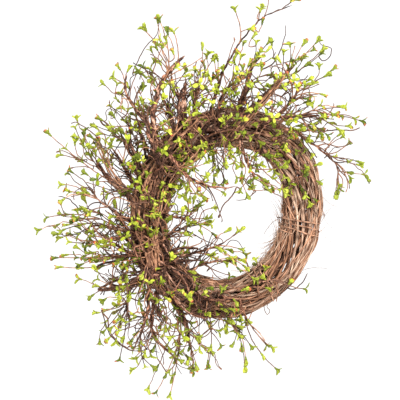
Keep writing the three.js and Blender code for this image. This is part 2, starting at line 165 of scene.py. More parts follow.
class Wiring(Nodes):  # a material's nodes
    def __init__(self, name):
        self.material = bpy.data.materials.new(name)
        self.material.use_nodes = True
        super().__init__(self.material.node_tree)

    def attribute(self, name, output="Fac"):
        return self.add("ShaderNodeAttribute", attribute_name=name).outputs[output]

    def place(self):
        return self.add("ShaderNodeTexCoord").outputs["Object"]

    def noise(self, vector, scale, stretch=(1, 1, 1), detail=4, rough=0.6):
        mapped = self.add("ShaderNodeMapping", {"Vector": vector, "Scale": stretch}).outputs["Vector"]
        return self.add("ShaderNodeTexNoise", {"Vector": mapped, "Scale": scale, "Detail": detail,
                                               "Roughness": rough}).outputs["Fac"]

    def ramp(self, value, stops):
        node = self.add("ShaderNodeValToRGB", {"Fac": value})
        elements = node.color_ramp.elements
        while len(elements) < len(stops):
            elements.new(0.5)
        for element, (place, colour) in zip(elements, stops):
            element.position = place
            element.color = colour
        return node.outputs["Color"]

    def mix(self, factor, first, second, blend="MIX"):
        return self.add("ShaderNodeMix", {0: factor, 6: first, 7: second}, data_type="RGBA",
                        blend_type=blend).outputs[2]

    def times(self, first, second):
        return self.mix(1.0, first, second, "MULTIPLY")

    def varied(self, tone, patches):  # a tone from 0 to 1, shifted by patches of noise
        return self.math("ADD", tone, self.math("MULTIPLY", self.math("SUBTRACT", patches, 0.5), 0.5))

    def bumped(self, height, distance, strength=1.0):
        return self.add("ShaderNodeBump", {"Strength": strength, "Distance": distance,
                                           "Height": height}).outputs["Normal"]

    def finish(self, inputs):
        for label, value in inputs.items():
            self.feed(self.tree.nodes["Principled BSDF"].inputs[label], value)
        return self.material


def paleFloorMaterial():
    wiring = Wiring("pale floor")
    tone = wiring.ramp(wiring.noise(wiring.place(), studio["floorSpeckle"]), studio["floorTones"])
    return wiring.finish({"Base Color": tone, "Roughness": studio["floorRoughness"]})


barkLooks = {
    "cane bark": {
        "tones": [(0, paint(84, 58, 44)), (0.2, paint(146, 106, 80)), (0.5, paint(192, 148, 120)),
                  (0.75, paint(176, 148, 128)), (1, paint(214, 190, 168))],
        "streaks": [(0.36, paint(88, 68, 56)), (0.48, paint(212, 200, 190)), (0.58, paint(255, 252, 249))],
        "streakScale": 620, "stretch": (1, 1, 0.07), "patchScale": 70, "bump": 0.5 * mm, "roughness": 0.82,
    },
    "stem bark": {
        "tones": [(0, paint(82, 56, 44)), (0.4, paint(170, 122, 98)), (1, paint(222, 182, 158))],
        "streaks": [(0.39, paint(66, 48, 42)), (0.49, paint(200, 182, 172)), (0.56, paint(255, 251, 247))],
        "streakScale": 340, "stretch": (1, 1, 0.45), "patchScale": 160, "bump": 0.8 * mm, "roughness": 0.85,
    },
    "twig bark": {
        "tones": [(0, paint(62, 44, 38)), (0.35, paint(126, 92, 74)), (0.7, paint(178, 128, 98)),
                  (1, paint(214, 166, 130))],
        "streaks": [(0.3, paint(150, 136, 126)), (0.7, paint(255, 251, 248))],
        "streakScale": 700, "stretch": (1, 1, 0.25), "patchScale": 120, "bump": 0.2 * mm, "roughness": 0.7,
    },
}
everyBark = {
    "patchStretch": (1, 1, 0.6),
    "patchDetail": 3,
    "streakDetail": 5,
    "streakRoughness": 0.65,
    # painted shade: bark colour is darkened where the knob height is low, in the recesses between the knobs
    "hollowShade": [(0.36, paint(146, 130, 126)), (0.54, paint(255, 255, 255))],
    "gloss": 0.25,
}


def barkMaterial(name):
    look = {**everyBark, **barkLooks[name]}
    wiring = Wiring(name)
    space = wiring.attribute("barkSpace", "Vector")
    fibres = wiring.noise(space, look["streakScale"], look["stretch"], look["streakDetail"], look["streakRoughness"])
    patches = wiring.noise(space, look["patchScale"], look["patchStretch"], look["patchDetail"])
    base = wiring.ramp(wiring.varied(wiring.attribute("tone"), patches), look["tones"])
    streaked = wiring.times(base, wiring.ramp(fibres, look["streaks"]))
    # painted shade in the recesses: the colour darkens where the knob height is low
    hollowShaded = wiring.times(streaked, wiring.ramp(wiring.attribute("knob"), look["hollowShade"]))
    return wiring.finish({"Base Color": hollowShaded, "Roughness": look["roughness"], "Specular IOR Level": look["gloss"],
                          "Normal": wiring.bumped(fibres, look["bump"])})


leafLook = {
    "greens": [(0, paint(66, 80, 16)), (0.2, paint(114, 126, 30)), (0.5, paint(158, 168, 50)),
               (0.8, paint(180, 186, 68)), (1, paint(194, 196, 90))],
    "under": [(0, paint(84, 96, 24)), (1, paint(156, 164, 60))],
    "shade": [(0, paint(178, 178, 130)), (0.4, paint(244, 244, 224)), (1, paint(255, 255, 250))],
    "rib": [(0.0, paint(214, 220, 170)), (0.2, (1, 1, 1, 1))],
    "blush": paint(176, 80, 58),
    "blushPlace": [(0.86, (0, 0, 0, 1)), (1.0, (1, 1, 1, 1))],
    "blushMottle": 0.3,
    "mottleScale": 320,
    "veinScale": 900,
    "veinDepth": 0.15 * mm,
    "veinStrength": 0.6,
    "roughness": 0.55,
    "gloss": 0.22,
}


def leafMaterial():
    wiring = Wiring("leaf plastic")
    tint, along, across, under, blush = (wiring.attribute("leaf" + word)
                                         for word in ("Tint", "Along", "Across", "Under", "Blush"))
    mottle = wiring.noise(wiring.place(), leafLook["mottleScale"], detail=3)
    varied = wiring.varied(tint, mottle)
    upper = wiring.times(wiring.ramp(varied, leafLook["greens"]), wiring.ramp(along, leafLook["shade"]))
    green = wiring.mix(under, upper, wiring.ramp(varied, leafLook["under"]))
    tip = wiring.ramp(wiring.math("ADD", along, wiring.math("MULTIPLY", mottle, leafLook["blushMottle"])),
                      leafLook["blushPlace"])
    reddened = wiring.mix(wiring.math("MULTIPLY", tip, blush), green, leafLook["blush"])
    rib = wiring.ramp(wiring.math("ABSOLUTE", across, 0), leafLook["rib"])
    veins = wiring.noise(wiring.place(), leafLook["veinScale"], detail=2)
    return wiring.finish({"Base Color": wiring.times(reddened, rib), "Roughness": leafLook["roughness"],
                          "Specular IOR Level": leafLook["gloss"],
                          "Normal": wiring.bumped(veins, leafLook["veinDepth"], leafLook["veinStrength"])})


materials = {name: barkMaterial(name) for name in barkLooks}
materials["leaf plastic"] = leafMaterial()
makeStudio()
print("studio and materials made")


class Tree(Nodes):  # a geometry node tree with named inputs
    def __init__(self, name, inputs):
        super().__init__(bpy.data.node_groups.new(name, "GeometryNodeTree"))
        for label, kind in {"Geometry": "Geometry", **inputs}.items():
            self.tree.interface.new_socket(name=label, in_out="INPUT", socket_type="NodeSocket" + kind)
        self.tree.interface.new_socket(name="Geometry", in_out="OUTPUT", socket_type="NodeSocketGeometry")
        self.given = self.add("NodeGroupInput").outputs

    def named(self, name, kind="FLOAT"):
        node = self.add("GeometryNodeInputNamedAttribute", {"Name": name}, data_type=kind)
        return next(s for s in node.outputs if s.enabled and s.name == "Attribute")

    def scaled(self, vector, factor):
        return self.add("ShaderNodeVectorMath", {0: vector, "Scale": factor}, operation="SCALE").outputs["Vector"]

    def store(self, geometry, name, value, kind="FLOAT"):
        node = self.add("GeometryNodeStoreNamedAttribute", {"Geometry": geometry, "Name": name}, data_type=kind,
                        domain="POINT")
        self.feed(next(s for s in node.inputs if s.enabled and s.name == "Value"), value)
        return node.outputs["Geometry"]

    def covered(self, geometry, material):
        return self.add("GeometryNodeSetMaterial", {"Geometry": geometry, "Material": material}).outputs["Geometry"]

    def finish(self, geometry):
        self.add("NodeGroupOutput", {"Geometry": geometry})
        return self.tree


def makeVineTree():  # runs a knobbly bark tube along every line of a mesh
    tree = Tree("vine along lines", {"Sides": "Int", "Knob height": "Float", "Knob scale": "Float", "Bark": "Material"})
    given, radius = tree.given, tree.named("vineRadius")
    line = tree.add("GeometryNodeMeshToCurve", {"Mesh": given["Geometry"]}).outputs["Curve"]
    circle = tree.add("GeometryNodeCurvePrimitiveCircle", {"Resolution": given["Sides"], "Radius": 1.0})
    position = tree.add("GeometryNodeInputPosition").outputs["Position"]
    circle = tree.store(circle.outputs["Curve"], "aroundVine", position, "FLOAT_VECTOR")
    tube = tree.add("GeometryNodeCurveToMesh", {"Curve": line, "Profile Curve": circle, "Scale": radius,
                                                "Fill Caps": True}).outputs["Mesh"]
    around = tree.scaled(tree.named("aroundVine", "FLOAT_VECTOR"), radius)
    along = tree.add("ShaderNodeCombineXYZ", {"Z": tree.named("along")}).outputs["Vector"]
    space = tree.add("ShaderNodeVectorMath", {0: around, 1: along}, operation="ADD").outputs["Vector"]
    tube = tree.store(tube, "barkSpace", space, "FLOAT_VECTOR")
    knob = tree.add("ShaderNodeTexNoise", {"Vector": tree.named("barkSpace", "FLOAT_VECTOR"),
                                           "Scale": given["Knob scale"], "Detail": 2.0}).outputs[0]
    # the knob height shapes the bumps and also paints shade into the bark's recesses
    tube = tree.store(tube, "knob", knob)
    height = tree.math("MULTIPLY", tree.math("SUBTRACT", tree.named("knob"), 0.5),
                       tree.math("MULTIPLY", given["Knob height"], radius))
    push = tree.scaled(tree.add("GeometryNodeInputNormal").outputs["Normal"], height)
    tube = tree.add("GeometryNodeSetPosition", {"Geometry": tube, "Offset": push}).outputs["Geometry"]
    return tree.finish(tree.covered(tube, given["Bark"]))


vineTree = makeVineTree()
stemKind, twigKind, leafletKind, sleeveKind = 0.0, 1.0, 2.0, 3.0


def makeSprayTree():  # stems, twigs, sleeves and leaflets of one spray, told apart by the number "kind"
    tree = Tree("leafy spray", {"Stem sides": "Int", "Twig sides": "Int", "Stem knobs": "Float",
                                "Stem bark": "Material", "Twig bark": "Material", "Leaf": "Material",
                                "Leaflet shape": "Object", "Sleeve shape": "Object"})
    given, kind = tree.given, tree.named("kind")

    def only(number):
        match = tree.add("FunctionNodeCompare", {0: kind, 1: number, "Epsilon": 0.1}, data_type="FLOAT",
                         operation="EQUAL").outputs["Result"]
        return tree.add("GeometryNodeSeparateGeometry", {"Geometry": given["Geometry"], "Selection": match},
                        domain="POINT").outputs["Selection"]

    def tube(number, sides, knobs, scale, bark):
        inputs = {"Geometry": only(number), "Sides": sides, "Knob height": knobs, "Knob scale": scale, "Bark": bark}
        return tree.add("GeometryNodeGroup", inputs, node_tree=vineTree).outputs["Geometry"]

    def shaped(number, shape):
        turn = tree.add("FunctionNodeAxesToRotation",
                        {0: tree.named("leafAim", "FLOAT_VECTOR"), 1: tree.named("leafFace", "FLOAT_VECTOR")},
                        primary_axis="Y", secondary_axis="Z").outputs["Rotation"]
        model = tree.add("GeometryNodeObjectInfo", {"Object": shape}).outputs["Geometry"]
        placed = tree.add("GeometryNodeInstanceOnPoints", {"Points": only(number), "Instance": model, "Rotation": turn,
                                                           "Scale": tree.named("leafSize")}).outputs["Instances"]
        real = tree.add("GeometryNodeRealizeInstances", {"Geometry": placed}).outputs["Geometry"]
        return tree.covered(real, given["Leaf"])

    join = tree.add("GeometryNodeJoinGeometry")
    for part in (shaped(sleeveKind, given["Sleeve shape"]), shaped(leafletKind, given["Leaflet shape"]),
                 tube(twigKind, given["Twig sides"], 0.5, 260.0, given["Twig bark"]),
                 tube(stemKind, given["Stem sides"], given["Stem knobs"], 320.0, given["Stem bark"])):
        tree.feed(join.inputs["Geometry"], part)
    return tree.finish(join.outputs["Geometry"])


sprayTree = makeSprayTree()


def meshOf(name, points, edges=(), faces=(), values=None):
    mesh = bpy.data.meshes.new(name)
    mesh.from_pydata([tuple(p) for p in points], list(edges), list(faces))
    for label, numbers in (values or {}).items():
        flat = np.asarray(numbers, np.float32)
        kind, field = ("FLOAT_VECTOR", "vector") if flat.ndim == 2 else ("FLOAT", "value")
        mesh.attributes.new(label, kind, "POINT").data.foreach_set(field, flat.ravel())
    return mesh


def grown(name, mesh, tree, settings, smooth=True):  # the tree's result on that mesh, as a plain mesh
    draft = bpy.data.objects.new(name + " draft", mesh)
    bpy.context.scene.collection.objects.link(draft)
    modifier = draft.modifiers.new("grow", "NODES")
    modifier.node_group = tree
    for item in tree.interface.items_tree:
        if item.in_out == "INPUT" and item.name in settings:
            modifier[item.identifier] = settings[item.name]
    depsgraph = bpy.context.evaluated_depsgraph_get()
    finished = bpy.data.meshes.new_from_object(draft.evaluated_get(depsgraph))
    draft.modifiers.clear()
    bpy.data.objects.remove(draft)
    finished.name = name
    finished.polygons.foreach_set("use_smooth", [smooth] * len(finished.polygons))
    piece = bpy.data.objects.new(name, finished)
    bpy.context.scene.collection.objects.link(piece)
    return piece


def seat(piece, slot, *nodes):
    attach(piece, "root")
    if nodes:
        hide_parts(*nodes)


carriers = []  # every point of every tube so far, which later twigs can be rooted on


def inPlace(point):  # from millimetres about the middle of the ring to where the piece hangs
    return Vector((point[0] * mm, point[1] * mm, point[2] * mm - insideTop))


class Strands:  # lines that tubes follow and points that leaves grow at, with the numbers that the trees read
    def __init__(self):
        self.points, self.edges = [], []
        self.values = {label: [] for label in ("vineRadius", "along", "tone", "kind", "leafSize", "leafTint",
                                               "leafBlush", "leafAim", "leafFace")}

    def put(self, point, **numbers):
        self.points.append(point)
        for label, row in self.values.items():
            row.append(numbers.get(label, {"leafAim": (0, 0, 1), "leafFace": (0, -1, 0)}.get(label, 0.0)))

    def line(self, points, radii, tone, start):
        self.tube(points, radii, tone, start, stemKind)

    def twig(self, points, radii, tone, start, kind=twigKind):  # in millimetres about the middle of the ring
        self.tube([inPlace(p) for p in points], [r * mm for r in radii], tone, start, kind)

    def tube(self, points, radii, tone, along, kind):
        carriers.extend(points)
        for i, (point, radius) in enumerate(zip(points, radii)):
            if i:
                along += (points[i] - points[i - 1]).length
                self.edges.append((len(self.points) - 1, len(self.points)))
            self.put(point, vineRadius=radius, along=along, tone=tone, kind=kind)

    def mesh(self, name):
        return meshOf(name, self.points, self.edges, values=self.values)


def plantVine(name, strands, sides, knobs, knobScale, slot="cane", *nodes):
    piece = grown(name, strands.mesh(name + " lines"), vineTree,
                  {"Sides": sides, "Knob height": knobs, "Knob scale": knobScale, "Bark": materials["cane bark"]})
    seat(piece, slot, *nodes)


def wandering(seed, place, sway):  # a smooth wander either way, by its pace and its size
    pace, size = sway
    return size * 2 * noise.noise(Vector((place * pace, seed * 7.31, 0.5)))


canes = {
    "layers": [
        {"name": "core_cane", "canes": 1, "rounds": 3, "wholeTwists": 0, "hand": 1, "radius": 4.0 * mm,
         "reach": 15.7 * mm, "tones": (0.0, 0.1)},
        {"name": "middle_cane", "canes": 2, "rounds": 7, "wholeTwists": 1, "hand": -1, "radius": 3.0 * mm,
         "reach": 8.25 * mm, "tones": (0.0, 0.25)},
        {"name": "outer_cane", "canes": 6, "rounds": 16, "wholeTwists": 1, "hand": 1, "radius": 2.4 * mm,
         "reach": 2.4 * mm, "tones": (0.2, 0.8)},
    ],
    "stepsPerRound": 24,
    "pointsPerRound": 110,
    "thickness": 0.86,
    "sway": (1.7, 0.05),
    "wander": (2.3, 1.3 * mm),
    "swell": (3, 0.12),
    "sides": 8,
    "knobs": 0.55,
    "knobScale": 120.0,
    "firstSeed": 50,
}


def makeCanes():
    number = 0
    for layer in canes["layers"]:
        steps = layer["rounds"] * canes["stepsPerRound"]
        own = round(steps / layer["canes"])
        twist = layer["hand"] * (layer["wholeTwists"] + 1 / layer["rounds"])
        for i in range(layer["canes"]):
            first = i * own
            last = min(first + own, steps) - 1
            startAngle, endAngle = (2 * math.pi * step / canes["stepsPerRound"] for step in (first, last))
            count = round((endAngle - startAngle) / (2 * math.pi) * canes["pointsPerRound"])
            draw = random.Random(canes["firstSeed"] + number)
            points, radii = [], []
            for j in range(count + 1):
                angle = startAngle + (endAngle - startAngle) * j / count
                roll = twist * angle + wandering(number, angle, canes["sway"])
                inset = layer["reach"] + wandering(number + 40, angle, canes["wander"])
                points.append(ringPoint(angle, roll, inset))
                radii.append(layer["radius"] * (canes["thickness"] + wandering(number + 80, angle, canes["swell"])))
            strands = Strands()
            strands.line(points, radii, draw.uniform(*layer["tones"]), number * 3.7)
            node = layer["name"] + (f"_{i + 1}" if layer["canes"] > 1 else "")
            plantVine("wound_" + node, strands, canes["sides"], canes["knobs"], canes["knobScale"], "cane", node)
            number += 1


makeCanes()
print("canes wound")

vines = {
    "pieces": 8,
    "vinesPerPiece": 7,
    "rounds": (0.7, 2.1),
    "radius": (0.9 * mm, 2.1 * mm),
    "twist": (-1.4, 1.8),
    "inset": (-0.5 * mm, 6 * mm),
    "tones": (0.05, 1.0),
    "bulge": 5.76 * mm,
    "bulgePace": 2.1,
    "taper": 0.45,
    "sway": (1.3, 0.3),
    "wander": (3.1, 1.1 * mm),
    "swell": (9, 0.16),
    "endPoints": 6,
    "endInset": 5 * mm,
    "pointsPerRound": 100,
    "backLimit": 24.5 * mm,
    "sides": 6,
    "knobs": 0.7,
    "knobScale": 160.0,
    "firstSeed": 900,
}


def makeVines():  # the thinner vines that fill the ring between the canes
    number = 200
    for i in range(vines["pieces"]):
        draw = random.Random(vines["firstSeed"] + i)
        strands = Strands()
        for _ in range(vines["vinesPerPiece"]):
            number += 1
            rounds = draw.uniform(*vines["rounds"])
            angle0, roll0 = draw.uniform(0, 2 * math.pi), draw.uniform(0, 2 * math.pi)
            twist, inset0 = draw.uniform(*vines["twist"]), draw.uniform(*vines["inset"])
            thick = draw.uniform(*vines["radius"])
            count = round(rounds * vines["pointsPerRound"])
            points, radii = [], []
            for j in range(count + 1):
                angle = angle0 + 2 * math.pi * rounds * j / count
                roll = roll0 + twist * (angle - angle0) + wandering(number, angle, vines["sway"])
                bulge = vines["bulge"] * max(0, noise.noise(Vector((angle * vines["bulgePace"], number, 3))))
                end = max(0, 1 - min(j, count - j) / vines["endPoints"]) * vines["endInset"]
                here = ringPoint(angle, roll, inset0 - bulge + end + wandering(number + 5, angle, vines["wander"]))
                here.y = min(here.y, vines["backLimit"])
                points.append(here)
                radii.append(thick * (1 - vines["taper"] * j / count)
                             * (0.95 + wandering(number, angle, vines["swell"])))
            strands.line(points, radii, draw.uniform(*vines["tones"]), number * 1.9)
        plantVine(f"thin_vines_{i + 1}", strands, vines["sides"], vines["knobs"], vines["knobScale"])


makeVines()
print("vines wound")

ties = {
    "places": [(-64, 2.3), (-18, 3.2), (62, 2.3), (164, 2.3)],
    "pitch": 6.5 * mm,
    "clearance": -0.2 * mm,
    "radius": 0.95 * mm,
    "tone": 0.55,
    "startTurn": 0.7,
    "sway": (5, 0.008),
    "wander": (6, 0.5 * mm),
    "pointsPerWrap": 40,
    "sides": 7,
    "knobs": 0.6,
    "knobScale": 200.0,
}


def makeTies():
    for i, (place, wraps) in enumerate(ties["places"]):
        count = round(wraps * ties["pointsPerWrap"])
        points = []
        for j in range(count + 1):
            turns = wraps * j / count
            angle = place * degree + turns * ties["pitch"] / (centreRadius - ring["width"] / 2)
            inset = wandering(i, turns, ties["wander"]) - ties["clearance"] - ties["radius"]
            points.append(ringPoint(angle + wandering(i + 9, turns, ties["sway"]),
                                    (turns - ties["startTurn"]) * 2 * math.pi, inset))
        strands = Strands()
        strands.line(points, [ties["radius"]] * len(points), ties["tone"], i * 2.2)
        plantVine(f"binding_vine_{i + 1}", strands, ties["sides"], ties["knobs"], ties["knobScale"], "tie",
                  f"tie_{i + 1}")


makeTies()
print("ties made")

shreds = {
    "count": 300,
    "length": (12 * mm, 46 * mm),
    "radius": (0.22 * mm, 0.5 * mm),
    "tones": (0.3, 1.0),
    "taper": 0.7,
    "lift": (0.05, 0.5),
    "curl": 22,
    "rise": 0.02,
    "step": 4 * mm,
    "backLimit": 26 * mm,
    "shaggyCount": 130,
    "shaggyAngles": (-66, 2),
    "shaggyRolls": (140, 215),
    "sides": 4,
    "knobScale": 200.0,
    "seed": 77,
}


def makeShreds():  # bark that peels from the ring in fine strips, with more of them inside its lower right
    draw = random.Random(shreds["seed"])
    strands = Strands()
    for i in range(shreds["count"] + shreds["shaggyCount"]):
        angle, roll = draw.uniform(0, 2 * math.pi), draw.uniform(0, 2 * math.pi)
        if i >= shreds["count"]:
            angle, roll = (draw.uniform(*shreds[name]) * degree for name in ("shaggyAngles", "shaggyRolls"))
        here = ringPoint(angle, roll, draw.uniform(-2, 2) * mm)
        ahead = (ringPoint(angle + 0.01, roll + draw.uniform(-0.02, 0.02), 0) - ringPoint(angle, roll, 0)).normalized()
        outward = (ringPoint(angle, roll, -1 * mm) - ringPoint(angle, roll, 0)).normalized()
        heading = (ahead * draw.choice((-1, 1)) + outward * draw.uniform(*shreds["lift"])).normalized()
        bend = Vector((draw.gauss(0, 1), draw.gauss(0, 1), draw.gauss(0, 1))).normalized() * shreds["curl"]
        points = [here]
        for _ in range(round(draw.uniform(*shreds["length"]) / shreds["step"])):
            heading = (heading + heading.cross(bend) * shreds["step"] + outward * shreds["rise"]).normalized()
            points.append(points[-1] + heading * shreds["step"])
        if max(p.y for p in points) > shreds["backLimit"]:  # it would reach the wall
            continue
        thick = draw.uniform(*shreds["radius"])
        radii = [thick * (1 - shreds["taper"] * j / len(points)) for j in range(len(points))]
        strands.line(points, radii, draw.uniform(*shreds["tones"]), i * 0.31)
    plantVine("bark_shreds", strands, shreds["sides"], 0.0, shreds["knobScale"])


makeShreds()
print("bark shreds made")


leafShape = {
    "halfWidths": [(0.0, 0.05), (0.28, 0.19), (0.58, 0.3), (0.86, 0.23), (1.0, 0.08)],
    "across": [-1, -0.5, 0, 0.5, 1],
    "thickness": 0.05,
    "cup": 0.12,
    "curl": 0.14,
    "lobes": 0.06,
    "sleeveSides": 6,
    "sleeveRings": [(0.0, 0.10), (0.22, 0.13), (0.42, 0.19), (0.40, 0.12), (0.30, 0.05)],
    "sleeveShade": 0.35,
}


def makeLeaflet():  # a closed thin blade along +Y, with its upper side to +Z
    points, faces, along, across, under = [], [], [], [], []
    rows, places = leafShape["halfWidths"], leafShape["across"]
    top, bottom = {}, {}
    for side, index in ((1, top), (-1, bottom)):
        for i, (t, half) in enumerate(rows):
            for j, x in enumerate(places):
                rim = j in (0, len(places) - 1) or i in (0, len(rows) - 1)
                if rim and side < 0:
                    bottom[i, j] = top[i, j]
                    continue
                index[i, j] = len(points)
                height = leafShape["cup"] * abs(x) ** 1.5 * math.sin(math.pi * min(1, t * 1.1))
                height -= leafShape["curl"] * t * t
                lobe = leafShape["lobes"] * math.cos(2 * math.pi * x) * t**4
                points.append((x * half, t + lobe, height + (0 if rim else side * leafShape["thickness"] / 2)))
                along.append(t)
                across.append(x)
                under.append(1.0 if side < 0 else 0.0)
    for i in range(len(rows) - 1):
        for j in range(len(places) - 1):
            corners = [(i, j), (i, j + 1), (i + 1, j + 1), (i + 1, j)]
            faces.append([top[c] for c in corners])
            faces.append([bottom[c] for c in reversed(corners)])
    values = {"leafAlong": along, "leafAcross": across, "leafUnder": under}
    return bpy.data.objects.new("leaflet shape", meshOf("leaflet", points, (), faces, values))


def makeSleeve():  # the little funnel that the leaflets open from, along +Y
    sides, rings = leafShape["sleeveSides"], leafShape["sleeveRings"]
    points = [(r * math.cos(2 * math.pi * k / sides), y, r * math.sin(2 * math.pi * k / sides))
              for y, r in rings for k in range(sides)]
    faces = [[i * sides + k, (i + 1) * sides + k, (i + 1) * sides + (k + 1) % sides, i * sides + (k + 1) % sides]
             for i in range(len(rings) - 1) for k in range(sides)]
    faces += [list(range(sides)), [len(points) - 1 - k for k in range(sides)]]
    values = {"leafAlong": [0.3 * y for _, y, _ in points], "leafAcross": [0.5] * len(points),
              "leafUnder": [leafShape["sleeveShade"]] * len(points)}
    return bpy.data.objects.new("sleeve shape", meshOf("sleeve", points, (), faces, values))


leafletShape, sleeveShape = makeLeaflet(), makeSleeve()
spray = {
    "stemSegments": 5,
    "stemSides": 4,
    "stemRootRadius": 3.2,
    "stemTipRadius": 1.3,
    "twigRootRadius": 1.0,
    "twigTipRadius": 0.7,
    "twigTries": 60,
    "whorlSpacing": 31,
    "leafyStep": 2.2,
    "leafReach": 8,
    "firstOwner": 13,
    "mostMiss": 0.05,
    "cornerMiss": 0.03,
}

# Name, lift, extra twigs and their reach, the stem's route and the twigs' tips, as in the part's source. Millimetres
# in the front view, from the middle of the ring.
sprays = [
    ("spray_left_low_1", 4, 2, 55, [(-98, -72), (-118, -86), (-139, -106), (-158, -112), (-190, -116)], [(-206, -126)]),
    ("spray_left_1", 10, 2, 55, [(-118, -58), (-157, -66), (-179, -64)], [(-262, -68), (-253, -82), (-221, -78)]),
    ("spray_left_2", 6, 2, 60, [(-130, -30), (-150, -28), (-184, -18), (-205, -22)], [(-275, -6), (-248, -26)]),
    ("spray_left_3", 22, 2, 50, [(-116, -26), (-144, -36), (-182, -42), (-197, -42)], [(-240, -44)]),
    ("spray_upper_left_1", 8, 2, 60, [(-112, -2), (-134, 14), (-162, 38), (-178, 56), (-193, 78)],
     [(-266, 120), (-253, 90), (-229, 134)]),
    ("spray_upper_left_2", 20, 2, 50, [(-118, -28), (-156, -4), (-188, 18), (-205, 42)], [(-242, 36), (-233, 66)]),
    ("spray_upper_left_3", 18, 2, 55, [(-118, 18), (-141, 50), (-152, 70), (-166, 94)], [(-203, 116)]),
    ("spray_upper_left_4", 14, 2, 55, [(-120, 6), (-134, 88), (-150, 110)], [(-175, 166), (-191, 144)]),
    ("spray_upper_left_5", 24, 2, 45, [(-116, 22), (-112, 47), (-98, 70), (-85, 106), (-80, 116)], [(-56, 92)]),
    ("spray_upper_left_6", 8, 2, 45, [(-80, 84), (-108, 116), (-121, 138), (-145, 168), (-152, 194), (-146, 204)],
     [(-170, 204)]),
    ("spray_top_left_1", 5, 2, 55, [(-100, 80), (-109, 120), (-102, 172), (-93, 200), (-69, 218), (-61, 230)],
     [(-125, 278), (-76, 274), (-98, 288)]),
    ("spray_top_left_2", 16, 2, 60, [(-68, 98), (-80, 136), (-93, 172)], [(-126, 222)]),
    ("spray_top_left_3", 26, 2, 55, [(-58, 112), (-67, 154), (-73, 184)], [(-53, 248)]),
    ("stub_top_left_1", 12, 0, 0, [(-52, 118), (-62, 148), (-64, 162), (-59, 198)], []),
    ("stub_top_left_2", 20, 1, 45, [(-98, 72), (-113, 116), (-116, 144)], []),
    ("spray_top_1", 4, 2, 45, [(-30, 118), (-21, 152), (-10, 196), (13, 242), (53, 290), (99, 308)],
     [(108, 318), (54, 308)]),
    ("spray_top_2", 10, 2, 60, [(-44, 124), (-48, 160), (-43, 176), (-35, 190)], [(-16, 234)]),
    ("spray_top_3", 18, 2, 55, [(-8, 120), (-12, 154), (4, 188), (10, 196)], [(67, 246)]),
    ("spray_top_4", 8, 2, 50, [(16, 122), (23, 162), (29, 182), (35, 206), (41, 222)], [(67, 260)]),
    ("spray_top_right_1", 9, 2, 60, [(28, 144), (47, 162), (66, 180), (85, 200), (99, 218)], [(140, 258), (149, 246)]),
    ("spray_top_right_2", 16, 2, 55, [(57, 126), (95, 162), (115, 196)], [(154, 206), (150, 176)]),
    ("spray_right_1", 12, 2, 55, [(40, 128), (67, 138), (112, 144), (139, 144)], [(207, 134), (182, 156), (172, 120)]),
    ("spray_right_2", 8, 1, 40, [(70, 108), (95, 128), (124, 104), (145, 90), (168, 66), (167, 38)],
     [(203, 68), (161, 20), (189, 104)]),
    ("spray_right_3", 20, 1, 42, [(100, 74), (112, 50)], [(121, 20)]),
    ("spray_hole_top_1", 10, 2, 40, [(20, 120), (25, 92), (34, 70), (44, 48)], [(86, 28), (38, 32)]),
    ("spray_hole_top_2", 16, 1, 40, [(44, 114), (60, 86)], [(70, 56)]),
    ("spray_hole_top_3", 22, 2, 50, [(-40, 136), (-22, 96)], [(-8, 58)]),
    ("twig_hole_top", 12, 1, 40, [(-84, 86), (-68, 64), (-38, 42), (0, 36), (15, 38)], [(-26, 16)]),
    ("spray_hole_left_1", 20, 1, 45, [(-112, 4), (-77, -6), (-48, -10)], [(-30, 20)]),
    ("spray_hole_left_2", 14, 1, 40, [(-108, -52), (-86, -38), (-70, -30)], [(-26, -14)]),
    ("spray_hole_low_1", 8, 1, 45, [(-106, -82), (-76, -68), (-53, -62), (-8, -48), (-2, -44)], [(30, -54), (24, -24)]),
    ("spray_hole_low_2", 18, 1, 38, [(-78, -110), (-38, -76), (13, -72)], [(36, -82)]),
    ("spray_bottom_left_1", 12, 2, 55, [(-104, -76), (-128, -96), (-143, -114), (-147, -144), (-140, -162)],
     [(-182, -148), (-158, -224), (-176, -192)]),
    ("spray_bottom_left_2", 6, 1, 55, [(-98, -104), (-110, -154), (-109, -182), (-76, -216)], [(-136, -224)]),
    ("spray_bottom_left_3", 22, 2, 50, [(-92, -86), (-116, -102), (-114, -142), (-131, -192)], [(-118, -234)]),
    ("spray_bottom_1", 9, 1, 50, [(-80, -124), (-70, -144), (-61, -162), (-53, -198)],
     [(-106, -276), (-84, -280), (-47, -238)]),
    ("spray_bottom_2", 16, 2, 55, [(-31, -134), (-28, -166)], [(-26, -236)]),
    ("spray_bottom_3", 6, 1, 45, [(-10, -132), (10, -166)], [(31, -234), (42, -204)]),
    ("spray_bottom_4", 10, 0, 0, [(20, -126), (32, -162), (53, -180)], [(80, -240), (74, -206)]),
    ("spray_low_right", 6, 1, 38, [(34, -114), (59, -100), (95, -104)], [(126, -116)]),
    ("spray_front_1", 34, 3, 45, [(-118, -44), (-120, -6)], []),
    ("spray_front_2", 30, 3, 45, [(-108, 50), (-86, 82)], []),
    ("spray_front_3", 34, 3, 45, [(-28, 122), (10, 128)], []),
    ("spray_front_4", 32, 3, 45, [(-94, -70), (-116, -52)], []),
    ("spray_front_5", 30, 3, 45, [(-50, -116), (-14, -128)], []),
]


def seededDraws(seed):  # the same even draws as in the part's source
    state = seed & 0xFFFFFFFF

    def draw():
        nonlocal state
        state = (state + 0x6D2B79F5) & 0xFFFFFFFF
        mixed = ((state ^ (state >> 15)) * (state | 1)) & 0xFFFFFFFF
        mixed ^= (mixed + (((mixed ^ (mixed >> 7)) * (mixed | 61)) & 0xFFFFFFFF)) & 0xFFFFFFFF
        return ((mixed ^ (mixed >> 14)) & 0xFFFFFFFF) / 4294967296

    return draw


def between(a, b, share):
    return a + (b - a) * share


def limited(value, low, high):
    return max(low, min(high, value))


